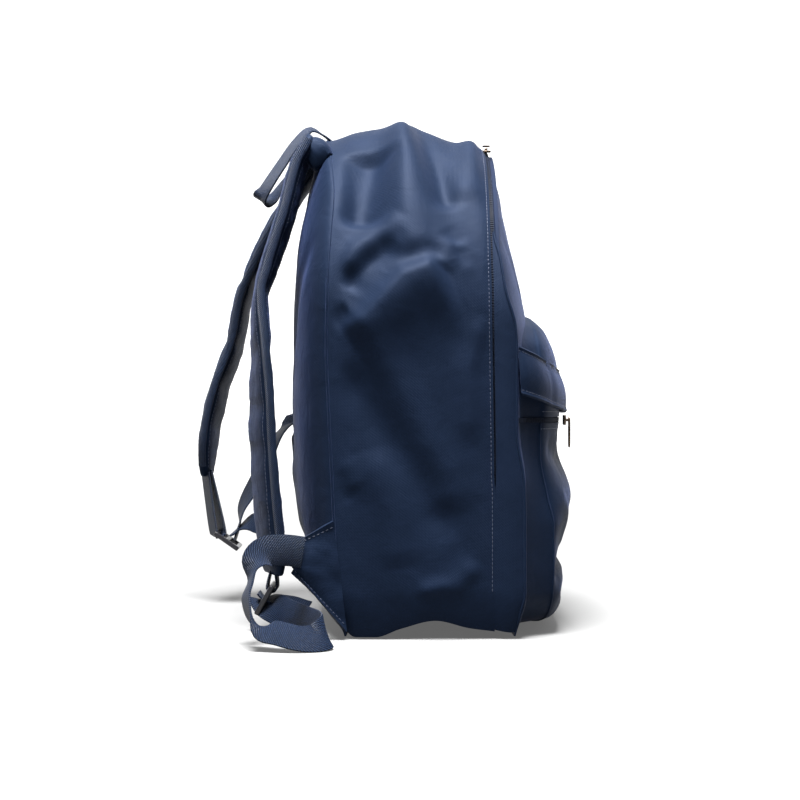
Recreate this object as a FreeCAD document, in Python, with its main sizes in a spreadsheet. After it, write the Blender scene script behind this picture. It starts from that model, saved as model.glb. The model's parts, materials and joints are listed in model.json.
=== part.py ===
import FreeCAD, Part
import os
import re
import Sketcher

# School backpack with two padded shoulder straps, a main compartment that unzips over the
# top, and one zipped front pocket under a storm flap.  Millimetres, +Z up, the wearer's back
# on the +Y side and the pocket on the -Y side.  The origin is the middle of the base, on the
# ground.  "Left" is the wearer's left, on the -X side.

os.makedirs("parts", exist_ok=True)
doc = FreeCAD.newDocument("school_backpack")
Vector = FreeCAD.Vector

# Driving dimensions: alias, value, meaning.
SIZES = (
    ("clearance", 0.3, "gap between neighbouring pieces"),
    ("cloth", 2, "thickness of the shell cloth with its coating and seam"),
    ("side_wall", 3, "thickness of the lined side gusset"),
    ("half_width", 155, "half the width of the bag at the seams"),
    ("ridge_half_width", 158, "half the width where the gusset swells"),
    ("seam_crown", 412, "height of the back seam at the top"),
    ("ridge_crown", 428, "height of the swollen ridge of the gusset"),
    ("flat_crown", 0.5, "half the flat stretch at the top of each arch"),
    ("base_corner", 40, "radius of the two long bottom corners"),
    ("base_level", 32, "height of the base panel's sides"),
    ("back_seam", 78, "distance of the back seam behind the origin"),
    ("ridge_station", 15, "distance of the ridge behind the origin"),
    ("zip_rear", 46, "rear edge of the main zip, ahead of the origin"),
    ("zip_middle", 50, "line of the main zip's teeth, ahead of the origin"),
    ("zip_front", 54, "front edge of the main zip, ahead of the origin"),
    ("zip_half_width", 153, "half the width of the arch of the main zip"),
    ("zip_crown", 403, "height of the main zip at the top"),
    ("zip_foot", 125, "height where the main zip ends on each side"),
    ("mouth_level", 283, "height of the fold of the open mouth"),
    ("seam_knee", 150, "height where the front seam starts to lean back"),
    ("front_seam", 75, "distance of the front seam ahead of the origin"),
    ("front_seam_top", 60, "the same distance at the mouth's fold"),
    ("front_crown", 401, "height of the front panel at the zip"),
    ("front_shoulder_station", 72, "station of the front panel's middle section"),
    ("front_shoulder_crown", 322, "height of the front panel's middle section"),
    ("front_face", 86, "distance of the flat of the front panel"),
    ("front_face_half_width", 132, "half the width of that flat"),
    ("front_face_crown", 264, "height of that flat"),
    ("front_face_radius", 70, "top corner radius of that flat"),
    ("back_shoulder_station", 96, "station of the back panel's middle section"),
    ("back_shoulder_half_width", 148, "half the width of that section"),
    ("back_shoulder_crown", 380, "height of that section"),
    ("back_face", 112, "distance of the rearmost face of the back panel"),
    ("back_face_half_width", 110, "half the width of that face"),
    ("back_face_crown", 322, "height of that face"),
    ("back_face_low", 45, "lowest level of that face"),
    ("foam", 5, "thickness of the back panel's foam"),
    ("lining", 1, "thickness of the back panel's lining"),
    ("seam_tape", 1.5, "thickness of the tape that binds the back seam"),
    ("seam_tape_width", 10, "width of that tape"),
    ("pocket_half_width", 128, "half the width of the pocket at its root"),
    ("pocket_low", 8, "lowest level of the pocket"),
    ("pocket_high", 258, "highest level of the pocket"),
    ("pocket_radius", 60, "top corner radius of the pocket"),
    ("pocket_base_radius", 30, "bottom corner radius of the pocket"),
    ("pocket_shoulder_station", 106, "station of the pocket's middle section"),
    ("pocket_shoulder_half_width", 124, "half the width of that section"),
    ("pocket_shoulder_high", 240, "highest level of that section"),
    ("pocket_face", 113, "distance of the pocket's front face"),
    ("pocket_face_half_width", 108, "half the width of that face"),
    ("pocket_face_low", 20, "lowest level of that face"),
    ("pocket_face_high", 205, "highest level of that face"),
    ("pocket_zip_low", 165, "lower edge of the pocket's zip"),
    ("pocket_zip_high", 177, "upper edge of the pocket's zip"),
    ("pocket_slide", 140, "travel of the pocket's slider"),
    ("flap_half_width", 132, "half the width of the storm flap, outside"),
    ("flap_root", 88, "distance of the flap's rear edge"),
    ("flap_face", 122, "distance of the flap's front"),
    ("flap_corner", 30, "radius of the flap's two upright corners"),
    ("flap_high", 230, "upper edge of the flap at its rear"),
    ("flap_front_high", 212, "upper edge of the flap at its front"),
    ("flap_low", 195, "lower edge of the flap at its rear"),
    ("flap_front_low", 179, "lower edge of the flap at its front"),
    ("slider_length", 12, "length of a zip slider"),
    ("slider_width", 9, "width of a zip slider"),
    ("slider_rise", 5, "height of a zip slider over the teeth"),
    ("slider_lift", 2.8, "gap under the main slider's wing"),
    ("slider_neck", 3.2, "width of the slider's foot on the rear tape"),
    ("slider_offset", 22, "distance of each main slider from the middle"),
    ("pull_length", 26, "length of a metal pull"),
    ("pull_width", 6, "width of a metal pull"),
    ("pull_thickness", 1.6, "thickness of a metal pull"),
    ("strap_width", 60, "width of a padded shoulder strap"),
    ("strap_thickness", 14, "thickness of a padded shoulder strap"),
    ("strap_root_station", 93, "station of the straps' root behind the origin"),
    ("strap_root_level", 405, "height of the straps' root"),
    ("strap_root_middle", 58, "sideways place of a strap at its root"),
    ("strap_end_middle", 92, "sideways place of a strap at its lower end"),
    ("left_belly_station", 137, "station of the left strap's upright stretch"),
    ("left_belly_high", 285, "top of that stretch"),
    ("left_belly_low", 165, "bottom of that stretch"),
    ("left_end_station", 126, "station of the left strap's lower end"),
    ("left_end_level", 42, "height of the left strap's lower end"),
    ("right_belly_station", 168, "station of the right strap at its upper bend"),
    ("right_belly_high", 280, "height of that bend"),
    ("right_low_station", 199, "station of the right strap at its lower bend"),
    ("right_belly_low", 165, "height of that bend"),
    ("right_end_station", 203, "station of the right strap's lower end"),
    ("right_end_level", 115, "height of the right strap's lower end"),
    ("webbing_width", 25, "width of the polypropylene webbing"),
    ("webbing", 1.8, "thickness of the webbing"),
    ("lock_width", 36, "width of a ladder lock"),
    ("lock_length", 26.6, "length of a ladder lock"),
    ("lock_thickness", 4.5, "thickness of a ladder lock"),
    ("lock_bar", 4, "width of each bar of a ladder lock"),
    ("lock_slot", 7.3, "width of each slot of a ladder lock"),
    ("left_lock_station", 127, "station of the left lock's upper bar"),
    ("left_lock_level", 35, "height of the left lock's upper bar"),
    ("left_lock_lean", 30, "lean of the left lock from upright, degrees"),
    ("right_lock_station", 192, "station of the right lock's upper bar"),
    ("right_lock_level", 64, "height of the right lock's upper bar"),
    ("right_lock_lean", -55, "lean of the right lock from upright, degrees"),
    ("haul_half_span", 26, "half the distance between the haul loop's legs"),
    ("haul_width", 15, "height of the haul loop's webbing seen from the side"),
    ("haul_crest_station", 98, "station of the haul loop's crest"),
    ("haul_crest_level", 416, "height of the haul loop's middle line at its crest"),
    ("haul_tip_station", 146, "station of the haul loop's tip"),
    ("haul_tip_level", 364, "height of the haul loop's tip"),
    ("haul_root_station", 84, "station of the haul loop's root"),
    ("haul_root_level", 418, "height of the haul loop's root"),
    ("ear_high", 93, "top of a strap ear on the back seam"),
    ("ear_tip_station", 115, "station of the ear's tip"),
    ("ear_tip_high", 80, "upper corner of the ear's tip"),
    ("ear_tip_low", 56, "lower corner of the ear's tip"),
    ("ear_low", 8, "bottom of the ear on the back seam"),
    ("ear_seam_station", 68, "station of the ear's sewn edge"),
    ("ear_thickness", 3, "thickness of the two-layer ear"),
    ("ear_inset", 156.6, "inner face of the ear from the middle"),
)

sheet = doc.addObject("Spreadsheet::Sheet", "Sizes")
for row, (alias, value, meaning) in enumerate(SIZES, start=1):
    sheet.set(f"A{row}", meaning)
    sheet.set(f"B{row}", str(value))
    sheet.setAlias(f"B{row}", alias)
doc.recompute()


# ------------------------------------------------------------------------------- helpers

def bound(expression):
    """The same expression with each size name pointing into the sheet."""
    return re.sub(r"[a-z][a-z_]*", lambda name: "Sizes." + name.group(), str(expression))


def size(expression):
    """Value of an expression over the sheet."""
    return float(sheet.evalExpression(bound(expression)))


def new_body(name):
    body = doc.addObject("PartDesign::Body", name)
    body.Label = name
    return body


def sketch_on(body, role, shift_across="0", shift_up="0", shift_out="0"):
    """Sketch on one of the body's own origin planes, shifted in the plane's own axes."""
    sketch = body.newObject("Sketcher::SketchObject", body.Name + "_sketch")
    plane = [feature for feature in body.Origin.OriginFeatures if feature.Role == role][0]
    sketch.AttachmentSupport = (plane, [""])
    sketch.MapMode = "FlatFace"
    for axis, shift in zip("xyz", (shift_across, shift_up, shift_out)):
        sketch.setExpression("AttachmentOffset.Base." + axis, bound(shift))
    return sketch


def limit(sketch, kind, *arguments, to):
    """Constraint whose value is bound to an expression over the sheet."""
    index = sketch.addConstraint(Sketcher.Constraint(kind, *arguments, size(to)))
    sketch.setExpression(f"Constraints[{index}]", bound(to))


def line(sketch, start, end):
    return sketch.addGeometry(Part.LineSegment(Vector(*start, 0), Vector(*end, 0)))


def arc(sketch, centre, radius, quarter):
    """Quarter of a circle, counted from 0 at the right-hand end of the top."""
    circle = Part.Circle(Vector(*centre, 0), Vector(0, 0, 1), radius)
    quarter_turn = 1.5707963267948966
    return sketch.addGeometry(
        Part.ArcOfCircle(circle, quarter * quarter_turn, (quarter + 1) * quarter_turn))


def polygon(sketch, corners):
    """Closed outline whose corners are pairs of expressions."""
    places = [(size(across), size(up)) for across, up in corners]
    lines = [line(sketch, start, end) for start, end in zip(places, places[1:] + places[:1])]
    for this, following in zip(lines, lines[1:] + lines[:1]):
        sketch.addConstraint(Sketcher.Constraint("Coincident", this, 2, following, 1))
    for this, (across, up) in zip(lines, corners):
        limit(sketch, "DistanceX", -1, 1, this, 1, to=across)
        limit(sketch, "DistanceY", -1, 1, this, 1, to=up)


def rounded_outline(body, station, half, low, high, top_radius, base_radius):
    """Upright rounded outline across the bag; station is measured forward of the origin."""
    sketch = sketch_on(body, "XZ_Plane", shift_up=low, shift_out=station)
    width = size(half)
    height = size(high) - size(low)
    top = size(top_radius)
    base = size(base_radius)
    bottom = line(sketch, (base - width, 0), (width - base, 0))
    low_right = arc(sketch, (width - base, base), base, 3)
    right = line(sketch, (width, base), (width, height - top))
    high_right = arc(sketch, (width - top, height - top), top, 0)
    crown = line(sketch, (width - top, height), (top - width, height))
    high_left = arc(sketch, (top - width, height - top), top, 1)
    left = line(sketch, (-width, height - top), (-width, base))
    low_left = arc(sketch, (base - width, base), base, 2)
    around = (bottom, low_right, right, high_right, crown, high_left, left, low_left)
    for this, following in zip(around, around[1:] + around[:1]):
        sketch.addConstraint(Sketcher.Constraint("Tangent", this, 2, following, 1))
    sketch.addConstraint(Sketcher.Constraint("PointOnObject", bottom, 1, -1))
    for level in (bottom, crown):
        sketch.addConstraint(Sketcher.Constraint("Horizontal", level))
    for upright in (right, left):
        sketch.addConstraint(Sketcher.Constraint("Vertical", upright))
    sketch.addConstraint(Sketcher.Constraint("Equal", high_right, high_left))
    sketch.addConstraint(Sketcher.Constraint("Equal", low_right, low_left))
    limit(sketch, "Radius", high_right, to=top_radius)
    limit(sketch, "Radius", low_right, to=base_radius)
    limit(sketch, "DistanceX", -1, 1, right, 1, to=half)
    limit(sketch, "DistanceX", left, 1, -1, 1, to=half)
    limit(sketch, "DistanceY", -1, 1, crown, 1, to=f"{high} - ({low})")
    return sketch


def arch_band(body, station, half, foot, high, wall):
    """Arch-shaped strip open at the bottom, standing on two feet at one level."""
    sketch = sketch_on(body, "XZ_Plane", shift_up=foot, shift_out=station)
    width = size(half)
    height = size(high) - size(foot)
    thick = size(wall)
    flat = size("flat_crown")
    turn = width - flat
    spring = height - turn
    outer_right = line(sketch, (width, 0), (width, spring))
    outer_high_right = arc(sketch, (flat, spring), turn, 0)
    outer_crown = line(sketch, (flat, height), (-flat, height))
    outer_high_left = arc(sketch, (-flat, spring), turn, 1)
    outer_left = line(sketch, (-width, spring), (-width, 0))
    left_foot = line(sketch, (-width, 0), (thick - width, 0))
    inner_left = line(sketch, (thick - width, 0), (thick - width, spring))
    inner_high_left = arc(sketch, (-flat, spring), turn - thick, 1)
    inner_crown = line(sketch, (-flat, height - thick), (flat, height - thick))
    inner_high_right = arc(sketch, (flat, spring), turn - thick, 0)
    inner_right = line(sketch, (width - thick, spring), (width - thick, 0))
    right_foot = line(sketch, (width - thick, 0), (width, 0))
    smooth = (
        (outer_right, 2, outer_high_right, 1), (outer_high_right, 2, outer_crown, 1),
        (outer_crown, 2, outer_high_left, 1), (outer_high_left, 2, outer_left, 1),
        (inner_left, 2, inner_high_left, 2), (inner_high_left, 1, inner_crown, 1),
        (inner_crown, 2, inner_high_right, 2), (inner_high_right, 1, inner_right, 1))
    corners = (
        (outer_left, 2, left_foot, 1), (left_foot, 2, inner_left, 1),
        (inner_right, 2, right_foot, 1), (right_foot, 2, outer_right, 1),
        (outer_high_right, 3, inner_high_right, 3), (outer_high_left, 3, inner_high_left, 3))
    for joint in smooth:
        sketch.addConstraint(Sketcher.Constraint("Tangent", *joint))
    for joint in corners:
        sketch.addConstraint(Sketcher.Constraint("Coincident", *joint))
    for upright in (outer_right, outer_left, inner_left, inner_right):
        sketch.addConstraint(Sketcher.Constraint("Vertical", upright))
    for level in (outer_crown, inner_crown, left_foot, right_foot):
        sketch.addConstraint(Sketcher.Constraint("Horizontal", level))
    sketch.addConstraint(Sketcher.Constraint("PointOnObject", left_foot, 1, -1))
    sketch.addConstraint(Sketcher.Constraint("PointOnObject", right_foot, 2, -1))
    sketch.addConstraint(Sketcher.Constraint("Equal", outer_high_right, outer_high_left))
    limit(sketch, "Radius", outer_high_right, to=f"{half} - flat_crown")
    limit(sketch, "DistanceX", -1, 1, outer_right, 1, to=half)
    limit(sketch, "DistanceX", outer_left, 1, -1, 1, to=half)
    limit(sketch, "DistanceY", -1, 1, outer_crown, 1, to=f"{high} - ({foot})")
    limit(sketch, "DistanceX", left_foot, 1, left_foot, 2, to=wall)
    return sketch


def pad(body, sketch, length, symmetric=False):
    feature = body.newObject("PartDesign::Pad", body.Name + "_pad")
    feature.Profile = sketch
    feature.setExpression("Length", bound(length))
    feature.SideType = "Symmetric" if symmetric else "One side"
    sketch.Visibility = False
    return feature


def pocket(body, sketch, length):
    """Cut that reaches half of length to each side of the sketch, checked to remove material."""
    doc.recompute()
    before = body.Shape.Volume
    feature = body.newObject("PartDesign::Pocket", body.Name + "_pocket")
    feature.Profile = sketch
    feature.setExpression("Length", bound(length))
    feature.SideType = "Symmetric"
    sketch.Visibility = False
    doc.recompute()
    if feature.Shape.Volume > before - 1:
        raise ValueError(f"{body.Label}: a pocket removed nothing")
    return feature


def loft(body, kind, sections):
    feature = body.newObject("PartDesign::" + kind, body.Name + "_loft")
    feature.Profile = sections[0]
    feature.Sections = sections[1:]
    feature.Ruled = True
    for section in sections:
        section.Visibility = False
    return feature


def hollow_loft(body, outer, wall):
    """Lofted dish: outer sections, less the same sections drawn in by the wall.

    Each section is (station, half width, low, high, top radius, base radius).  The first
    section is the open side; the last is the closed face, wall thick.
    """
    loft(body, "AdditiveLoft", [rounded_outline(body, *section) for section in outer])
    inner = []
    inward = "-" if size(outer[-1][0]) > 0 else "+"
    for number, (station, half, low, high, top_radius, base_radius) in enumerate(outer):
        last = number == len(outer) - 1
        inner.append((
            f"{station} {inward} ({wall})" if last else station,
            f"{half} - ({wall})", f"{low} + ({wall})", f"{high} - ({wall})",
            f"{top_radius} - ({wall})", f"{base_radius} - ({wall})"))
    loft(body, "SubtractiveLoft", [rounded_outline(body, *section) for section in inner])


WIDE = "4 * half_width"


def keep_between(body, low=None, high=None):
    """Cut away everything under the low level and over the high level."""
    front = "-2 * half_width"
    rear = "2 * half_width"
    if low is not None:
        sketch = sketch_on(body, "YZ_Plane")
        polygon(sketch, ((front, "-50"), (rear, "-50"), (rear, low), (front, low)))
        pocket(body, sketch, WIDE)
    if high is not None:
        sketch = sketch_on(body, "YZ_Plane")
        top = "ridge_crown + 50"
        polygon(sketch, ((front, high), (rear, high), (rear, top), (front, top)))
        pocket(body, sketch, WIDE)


# ------------------------------------------------------------------------ shell of the bag

def build_rear_gusset():
    """Long strip that runs up one side, over the top and down the other side."""
    body = new_body("rear_gusset")
    foot = "base_level + clearance"
    loft(body, "AdditiveLoft", [
        arch_band(body, "-back_seam + clearance", "half_width", foot, "seam_crown", "side_wall"),
        arch_band(body, "-ridge_station", "ridge_half_width", foot, "ridge_crown", "side_wall"),
        arch_band(body, "zip_rear", "zip_half_width + 1", foot, "zip_crown + 2", "side_wall")])
    return body


def build_base_panel():
    """Bottom of the bag with its two upturned long sides."""
    body = new_body("base_panel")
    outer = rounded_outline(
        body, "-back_seam + clearance", "half_width", "0", "3 * base_level",
        "clearance", "base_corner")
    pad(body, outer, "back_seam + front_seam - 2 * clearance")
    inner = rounded_outline(
        body, "-ridge_station", "half_width - side_wall", "side_wall", "3.5 * base_level",
        "clearance", "base_corner - side_wall")
    pocket(body, inner, WIDE)
    keep_between(body, high="base_level")
    return body


BACK_SECTIONS = (
    ("-back_seam - clearance", "half_width", "0", "seam_crown",
     "half_width - flat_crown", "base_corner"),
    ("-back_shoulder_station", "back_shoulder_half_width", "8", "back_shoulder_crown",
     "back_shoulder_half_width - flat_crown", "base_corner"),
    ("-back_face", "back_face_half_width", "back_face_low", "back_face_crown",
     "back_face_half_width - flat_crown", "base_corner"))


def back_layer(name, depth, wall):
    """One layer of the padded back, lying depth under the outside."""
    body = new_body(name)
    sections = []
    for number, (station, half, low, high, top_radius, base_radius) in enumerate(BACK_SECTIONS):
        last = number == len(BACK_SECTIONS) - 1
        sections.append((
            f"{station} + {depth}" if last else station,
            f"{half} - ({depth})", f"{low} + ({depth})", f"{high} - ({depth})",
            f"{top_radius} - ({depth})", f"{base_radius} - ({depth})"))
    hollow_loft(body, sections, wall)
    return body


FRONT_SECTIONS = (
    ("zip_front + clearance", "zip_half_width", "0", "front_crown",
     "zip_half_width - flat_crown", "base_corner"),
    ("front_shoulder_station", "zip_half_width - 1", "0", "front_shoulder_crown",
     "zip_half_width - 1 - flat_crown", "base_corner"),
    ("front_face", "front_face_half_width", "8", "front_face_crown",
     "front_face_radius", "base_corner"))


def build_front_panel():
    """Lower front, from the base up to the fold of the mouth, ahead of the side strips."""
    body = new_body("front_panel")
    hollow_loft(body, FRONT_SECTIONS, "cloth")
    behind = sketch_on(body, "YZ_Plane")
    polygon(behind, (
        ("0", "-50"), ("-front_seam - clearance", "-50"),
        ("-front_seam - clearance", "seam_knee"),
        ("-front_seam_top - clearance", "mouth_level"), ("0", "mouth_level")))
    pocket(body, behind, WIDE)
    keep_between(body, high="mouth_level - clearance")
    return body


def build_mouth_panel():
    """Upper front, which folds forward when the main zip is open."""
    body = new_body("mouth_panel")
    hollow_loft(body, FRONT_SECTIONS, "cloth")
    keep_between(body, low="mouth_level + clearance")
    return body


def build_front_gusset(name, side):
    """Narrow side strip between the main zip and the front panel."""
    body = new_body(name)
    foot = "base_level + clearance"
    sketch = sketch_on(body, "YZ_Plane", shift_out=f"{side} * (half_width - 1.5)")
    polygon(sketch, (
        ("-zip_rear - clearance", foot), ("-front_seam + clearance", foot),
        ("-front_seam + clearance", "seam_knee"),
        ("-front_seam_top + clearance", "mouth_level - clearance"),
        ("-zip_front - clearance", "mouth_level - clearance"),
        ("-zip_front - clearance", "zip_foot - clearance"),
        ("-zip_rear - clearance", "zip_foot - clearance")))
    pad(body, sketch, "side_wall", symmetric=True)
    return body


def build_main_zip_rear():
    """Tape and teeth on the rear side of the main zip."""
    body = new_body("main_zip_rear")
    band = arch_band(body, "zip_rear + clearance", "zip_half_width", "zip_foot", "zip_crown",
                     "cloth")
    pad(body, band, "zip_middle - zip_rear - 1.5 * clearance")
    return body


def build_main_zip_front_upper():
    """Tape and teeth on the front side of the main zip, on the folding mouth."""
    body = new_body("main_zip_front_upper")
    front_tape(body)
    keep_between(body, low="mouth_level + clearance")
    return body


def build_main_zip_front_lower():
    """Tape and teeth on the front side of the main zip, below the fold on both sides."""
    body = new_body("main_zip_front_lower")
    front_tape(body)
    keep_between(body, high="mouth_level - clearance")
    return body


def front_tape(body):
    band = arch_band(body, "zip_middle + clearance / 2", "zip_half_width", "zip_foot",
                     "zip_crown", "cloth")
    pad(body, band, "zip_front - zip_middle - clearance")


def build_back_seam_tape():
    """Binding tape that covers the raw edges of the back seam, inside the bag."""
    body = new_body("back_seam_tape")
    inset = "side_wall + 1"
    arch_top = "half_width - flat_crown"
    outer = rounded_outline(
        body, "-back_seam + 1", f"half_width - ({inset})", inset, f"seam_crown - ({inset})",
        f"{arch_top} - ({inset})", f"base_corner - ({inset})")
    pad(body, outer, "seam_tape_width")
    deep = "side_wall + 1 + seam_tape"
    inner = rounded_outline(
        body, "-back_seam", f"half_width - ({deep})", deep, f"seam_crown - ({deep})",
        f"{arch_top} - ({deep})", f"base_corner - ({deep})")
    pocket(body, inner, WIDE)
    return body


# ---------------------------------------------------------------------------- front pocket

POCKET_SECTIONS = (
    ("front_face + clearance", "pocket_half_width", "pocket_low", "pocket_high",
     "pocket_radius", "pocket_base_radius"),
    ("pocket_shoulder_station", "pocket_shoulder_half_width", "pocket_low + 2",
     "pocket_shoulder_high", "pocket_radius", "pocket_base_radius"),
    ("pocket_face", "pocket_face_half_width", "pocket_face_low", "pocket_face_high",
     "pocket_radius", "pocket_base_radius"))


def build_pocket_piece(name, low=None, high=None):
    """Horizontal slice of the pocket's dish: its panel, its zip or its domed top."""
    body = new_body(name)
    hollow_loft(body, POCKET_SECTIONS, "cloth")
    keep_between(body, low, high)
    return body


def build_pocket_flap():
    """Storm flap that wraps over the pocket's zip from one side to the other."""
    body = new_body("pocket_flap")
    flap = sketch_on(body, "XY_Plane", shift_out="flap_front_low - 5")
    polygon(flap, (
        ("flap_half_width", "-flap_root"), ("-flap_half_width", "-flap_root"),
        ("-flap_half_width", "-flap_face"), ("flap_half_width", "-flap_face")))
    block = pad(body, flap, "flap_high - flap_front_low + 10")
    doc.recompute()
    corners = [
        f"Edge{number}" for number, edge in enumerate(block.Shape.Edges, start=1)
        if edge.BoundBox.ZLength > 1 and edge.CenterOfMass.y < -size("flap_root") - 1]
    rounding = body.newObject("PartDesign::Fillet", "flap_corners")
    rounding.Base = (block, corners)
    rounding.setExpression("Radius", bound("flap_corner"))
    inside = sketch_on(body, "XY_Plane", shift_out="flap_high")
    narrow = "flap_half_width - cloth"
    turn = "flap_corner - cloth"
    width = size(narrow)
    radius = size(turn)
    face = -size("flap_face - cloth")
    rear = -size("flap_root") + 10
    right = line(inside, (width, rear), (width, face + radius))
    back = line(inside, (-width, rear), (width, rear))
    left = line(inside, (-width, face + radius), (-width, rear))
    low_left = arc(inside, (radius - width, face + radius), radius, 2)
    front = line(inside, (radius - width, face), (width - radius, face))
    low_right = arc(inside, (width - radius, face + radius), radius, 3)
    for joint in ((left, 1, low_left, 1), (low_left, 2, front, 1), (front, 2, low_right, 1),
                  (low_right, 2, right, 2)):
        inside.addConstraint(Sketcher.Constraint("Tangent", *joint))
    for joint in ((left, 2, back, 1), (back, 2, right, 1)):
        inside.addConstraint(Sketcher.Constraint("Coincident", *joint))
    for upright in (left, right):
        inside.addConstraint(Sketcher.Constraint("Vertical", upright))
    for level in (back, front):
        inside.addConstraint(Sketcher.Constraint("Horizontal", level))
    limit(inside, "Radius", low_left, to=turn)
    limit(inside, "Radius", low_right, to=turn)
    limit(inside, "DistanceX", -1, 1, right, 1, to=narrow)
    limit(inside, "DistanceX", left, 2, -1, 1, to=narrow)
    limit(inside, "DistanceY", front, 1, -1, 1, to="flap_face - cloth")
    limit(inside, "DistanceY", right, 1, -1, 1, to="flap_root - 10")
    pocket(body, inside, WIDE)
    above = sketch_on(body, "YZ_Plane")
    polygon(above, (
        ("-flap_root + 20", "flap_high + 9"), ("-flap_root + 20", "flap_high + 50"),
        ("-flap_face - 20", "flap_high + 50"), ("-flap_face - 20", "flap_front_high - 9"),
        ("-flap_face", "flap_front_high"), ("-flap_root", "flap_high")))
    pocket(body, above, WIDE)
    below = sketch_on(body, "YZ_Plane")
    polygon(below, (
        ("-flap_root + 20", "flap_low + 9"), ("-flap_root + 20", "flap_front_low - 60"),
        ("-flap_face - 20", "flap_front_low - 60"), ("-flap_face - 20", "flap_front_low - 9"),
        ("-flap_face", "flap_front_low"), ("-flap_root", "flap_low")))
    pocket(body, below, WIDE)
    return body


# ------------------------------------------------------------------------------ zip sliders

def build_main_slider(name, side):
    """Slider of the main zip: a wing over both tapes with a foot on the rear tape.

    It is drawn at the top of the arch and turned about the arch's centre to its place.
    """
    body = new_body(name)
    sketch = sketch_on(body, "YZ_Plane")
    under = "zip_crown + slider_lift"
    over = "zip_crown + slider_lift + slider_rise"
    foot = "zip_crown + 2 * clearance"
    rear = "-zip_rear - clearance"
    polygon(sketch, (
        (rear, foot), (rear, over), (f"{rear} - slider_width", over),
        (f"{rear} - slider_width", under), (f"{rear} - slider_neck", under),
        (f"{rear} - slider_neck", foot)))
    pad(body, sketch, "slider_length", symmetric=True)
    pose_on_arch(body, side)
    return body


def pose_on_arch(body, side):
    """Turn a piece drawn at the top of the arch to its slider's place along the zip."""
    centre = Vector(0, 0, size("zip_crown - zip_half_width"))
    body.Placement = FreeCAD.Placement(
        Vector(0, 0, 0), FreeCAD.Rotation(Vector(0, 1, 0), side * ARCH_ANGLE), centre)


ARCH_ANGLE = 57.29577951308232 * size("slider_offset") / size("zip_half_width")


def build_main_pull(name, side):
    """Metal pull that lies along the zip, away from the middle of the arch."""
    body = new_body(name)
    sketch = sketch_on(
        body, "XY_Plane", shift_out="zip_crown + slider_lift + slider_rise + clearance")
    middle = "-zip_rear - clearance - slider_width / 2"
    start = "slider_length / 2 - 4"
    ends = sorted((f"{side} * ({start})", f"{side} * ({start} + pull_length)"), key=size)
    polygon(sketch, (
        (ends[0], f"{middle} - pull_width / 2"), (ends[1], f"{middle} - pull_width / 2"),
        (ends[1], f"{middle} + pull_width / 2"), (ends[0], f"{middle} + pull_width / 2")))
    pad(body, sketch, "pull_thickness")
    pose_on_arch(body, side)
    return body


def build_pocket_slider():
    """Slider of the pocket's zip, parked at the left end of its travel."""
    body = new_body("pocket_slider")
    middle = "(pocket_zip_low + pocket_zip_high) / 2"
    sketch = sketch_on(body, "YZ_Plane", shift_out="-pocket_slide / 2")
    rear = "-pocket_face - clearance"
    polygon(sketch, (
        (rear, f"{middle} - slider_width / 2"), (f"{rear} - slider_rise + 1", f"{middle} - 3"),
        (f"{rear} - slider_rise + 1", f"{middle} + 3"), (rear, f"{middle} + slider_width / 2")))
    pad(body, sketch, "slider_length", symmetric=True)
    return body


def build_pocket_pull():
    """Metal pull that hangs from the pocket's slider."""
    body = new_body("pocket_pull")
    middle = "(pocket_zip_low + pocket_zip_high) / 2"
    face = "pocket_face + slider_rise - 1 + 2 * clearance"
    sketch = sketch_on(body, "XZ_Plane", shift_out=face)
    left = "-pocket_slide / 2 - pull_width / 2"
    right = "-pocket_slide / 2 + pull_width / 2"
    polygon(sketch, (
        (left, f"{middle} + 3 - pull_length"), (right, f"{middle} + 3 - pull_length"),
        (right, f"{middle} + 3"), (left, f"{middle} + 3")))
    pad(body, sketch, "pull_thickness")
    return body


# ------------------------------------------------------------------------ carrying system

def build_haul_loop():
    """Webbing handle sewn into the back seam, fallen back over the straps."""
    body = new_body("haul_loop")
    side = sketch_on(body, "YZ_Plane")
    half = "haul_width / 2"
    slope = "0.6 * haul_width / 2"
    polygon(side, (
        ("haul_root_station - 4", "haul_root_level - 5"),
        ("haul_root_station", f"haul_root_level + {half} - 2"),
        ("haul_crest_station + 2", f"haul_crest_level + {half}"),
        (f"haul_tip_station + {slope}", f"haul_tip_level + {slope}"),
        (f"haul_tip_station - {slope}", f"haul_tip_level - {slope}"),
        ("haul_crest_station + 1", f"haul_crest_level - {half}"),
        ("haul_crest_station - 5", f"haul_crest_level - {half} + 1"),
        ("haul_root_station + 3", "haul_root_level - 5")))
    block = pad(body, side, "2 * haul_half_span", symmetric=True)
    doc.recompute()
    tip = size("haul_tip_station") - size("haul_width")
    ends = [
        f"Edge{number}" for number, edge in enumerate(block.Shape.Edges, start=1)
        if edge.CenterOfMass.y > tip and abs(edge.CenterOfMass.x) > size("haul_half_span") - 1
        and edge.BoundBox.XLength < 1 and edge.Length < size("haul_width") + 1]
    rounding = body.newObject("PartDesign::Fillet", "haul_corners")
    rounding.Base = (block, ends)
    rounding.setExpression("Radius", bound("haul_half_span - 6"))
    hole = sketch_on(body, "XY_Plane", shift_out="haul_tip_level")
    inner = "haul_half_span - webbing"
    polygon(hole, (
        (f"-({inner})", "haul_root_station - 30"), (inner, "haul_root_station - 30"),
        (inner, "haul_tip_station - 22"), (f"{inner} - 18", "haul_tip_station - 4"),
        (f"18 - ({inner})", "haul_tip_station - 4"), (f"-({inner})", "haul_tip_station - 22")))
    pocket(body, hole, WIDE)
    return body


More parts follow.
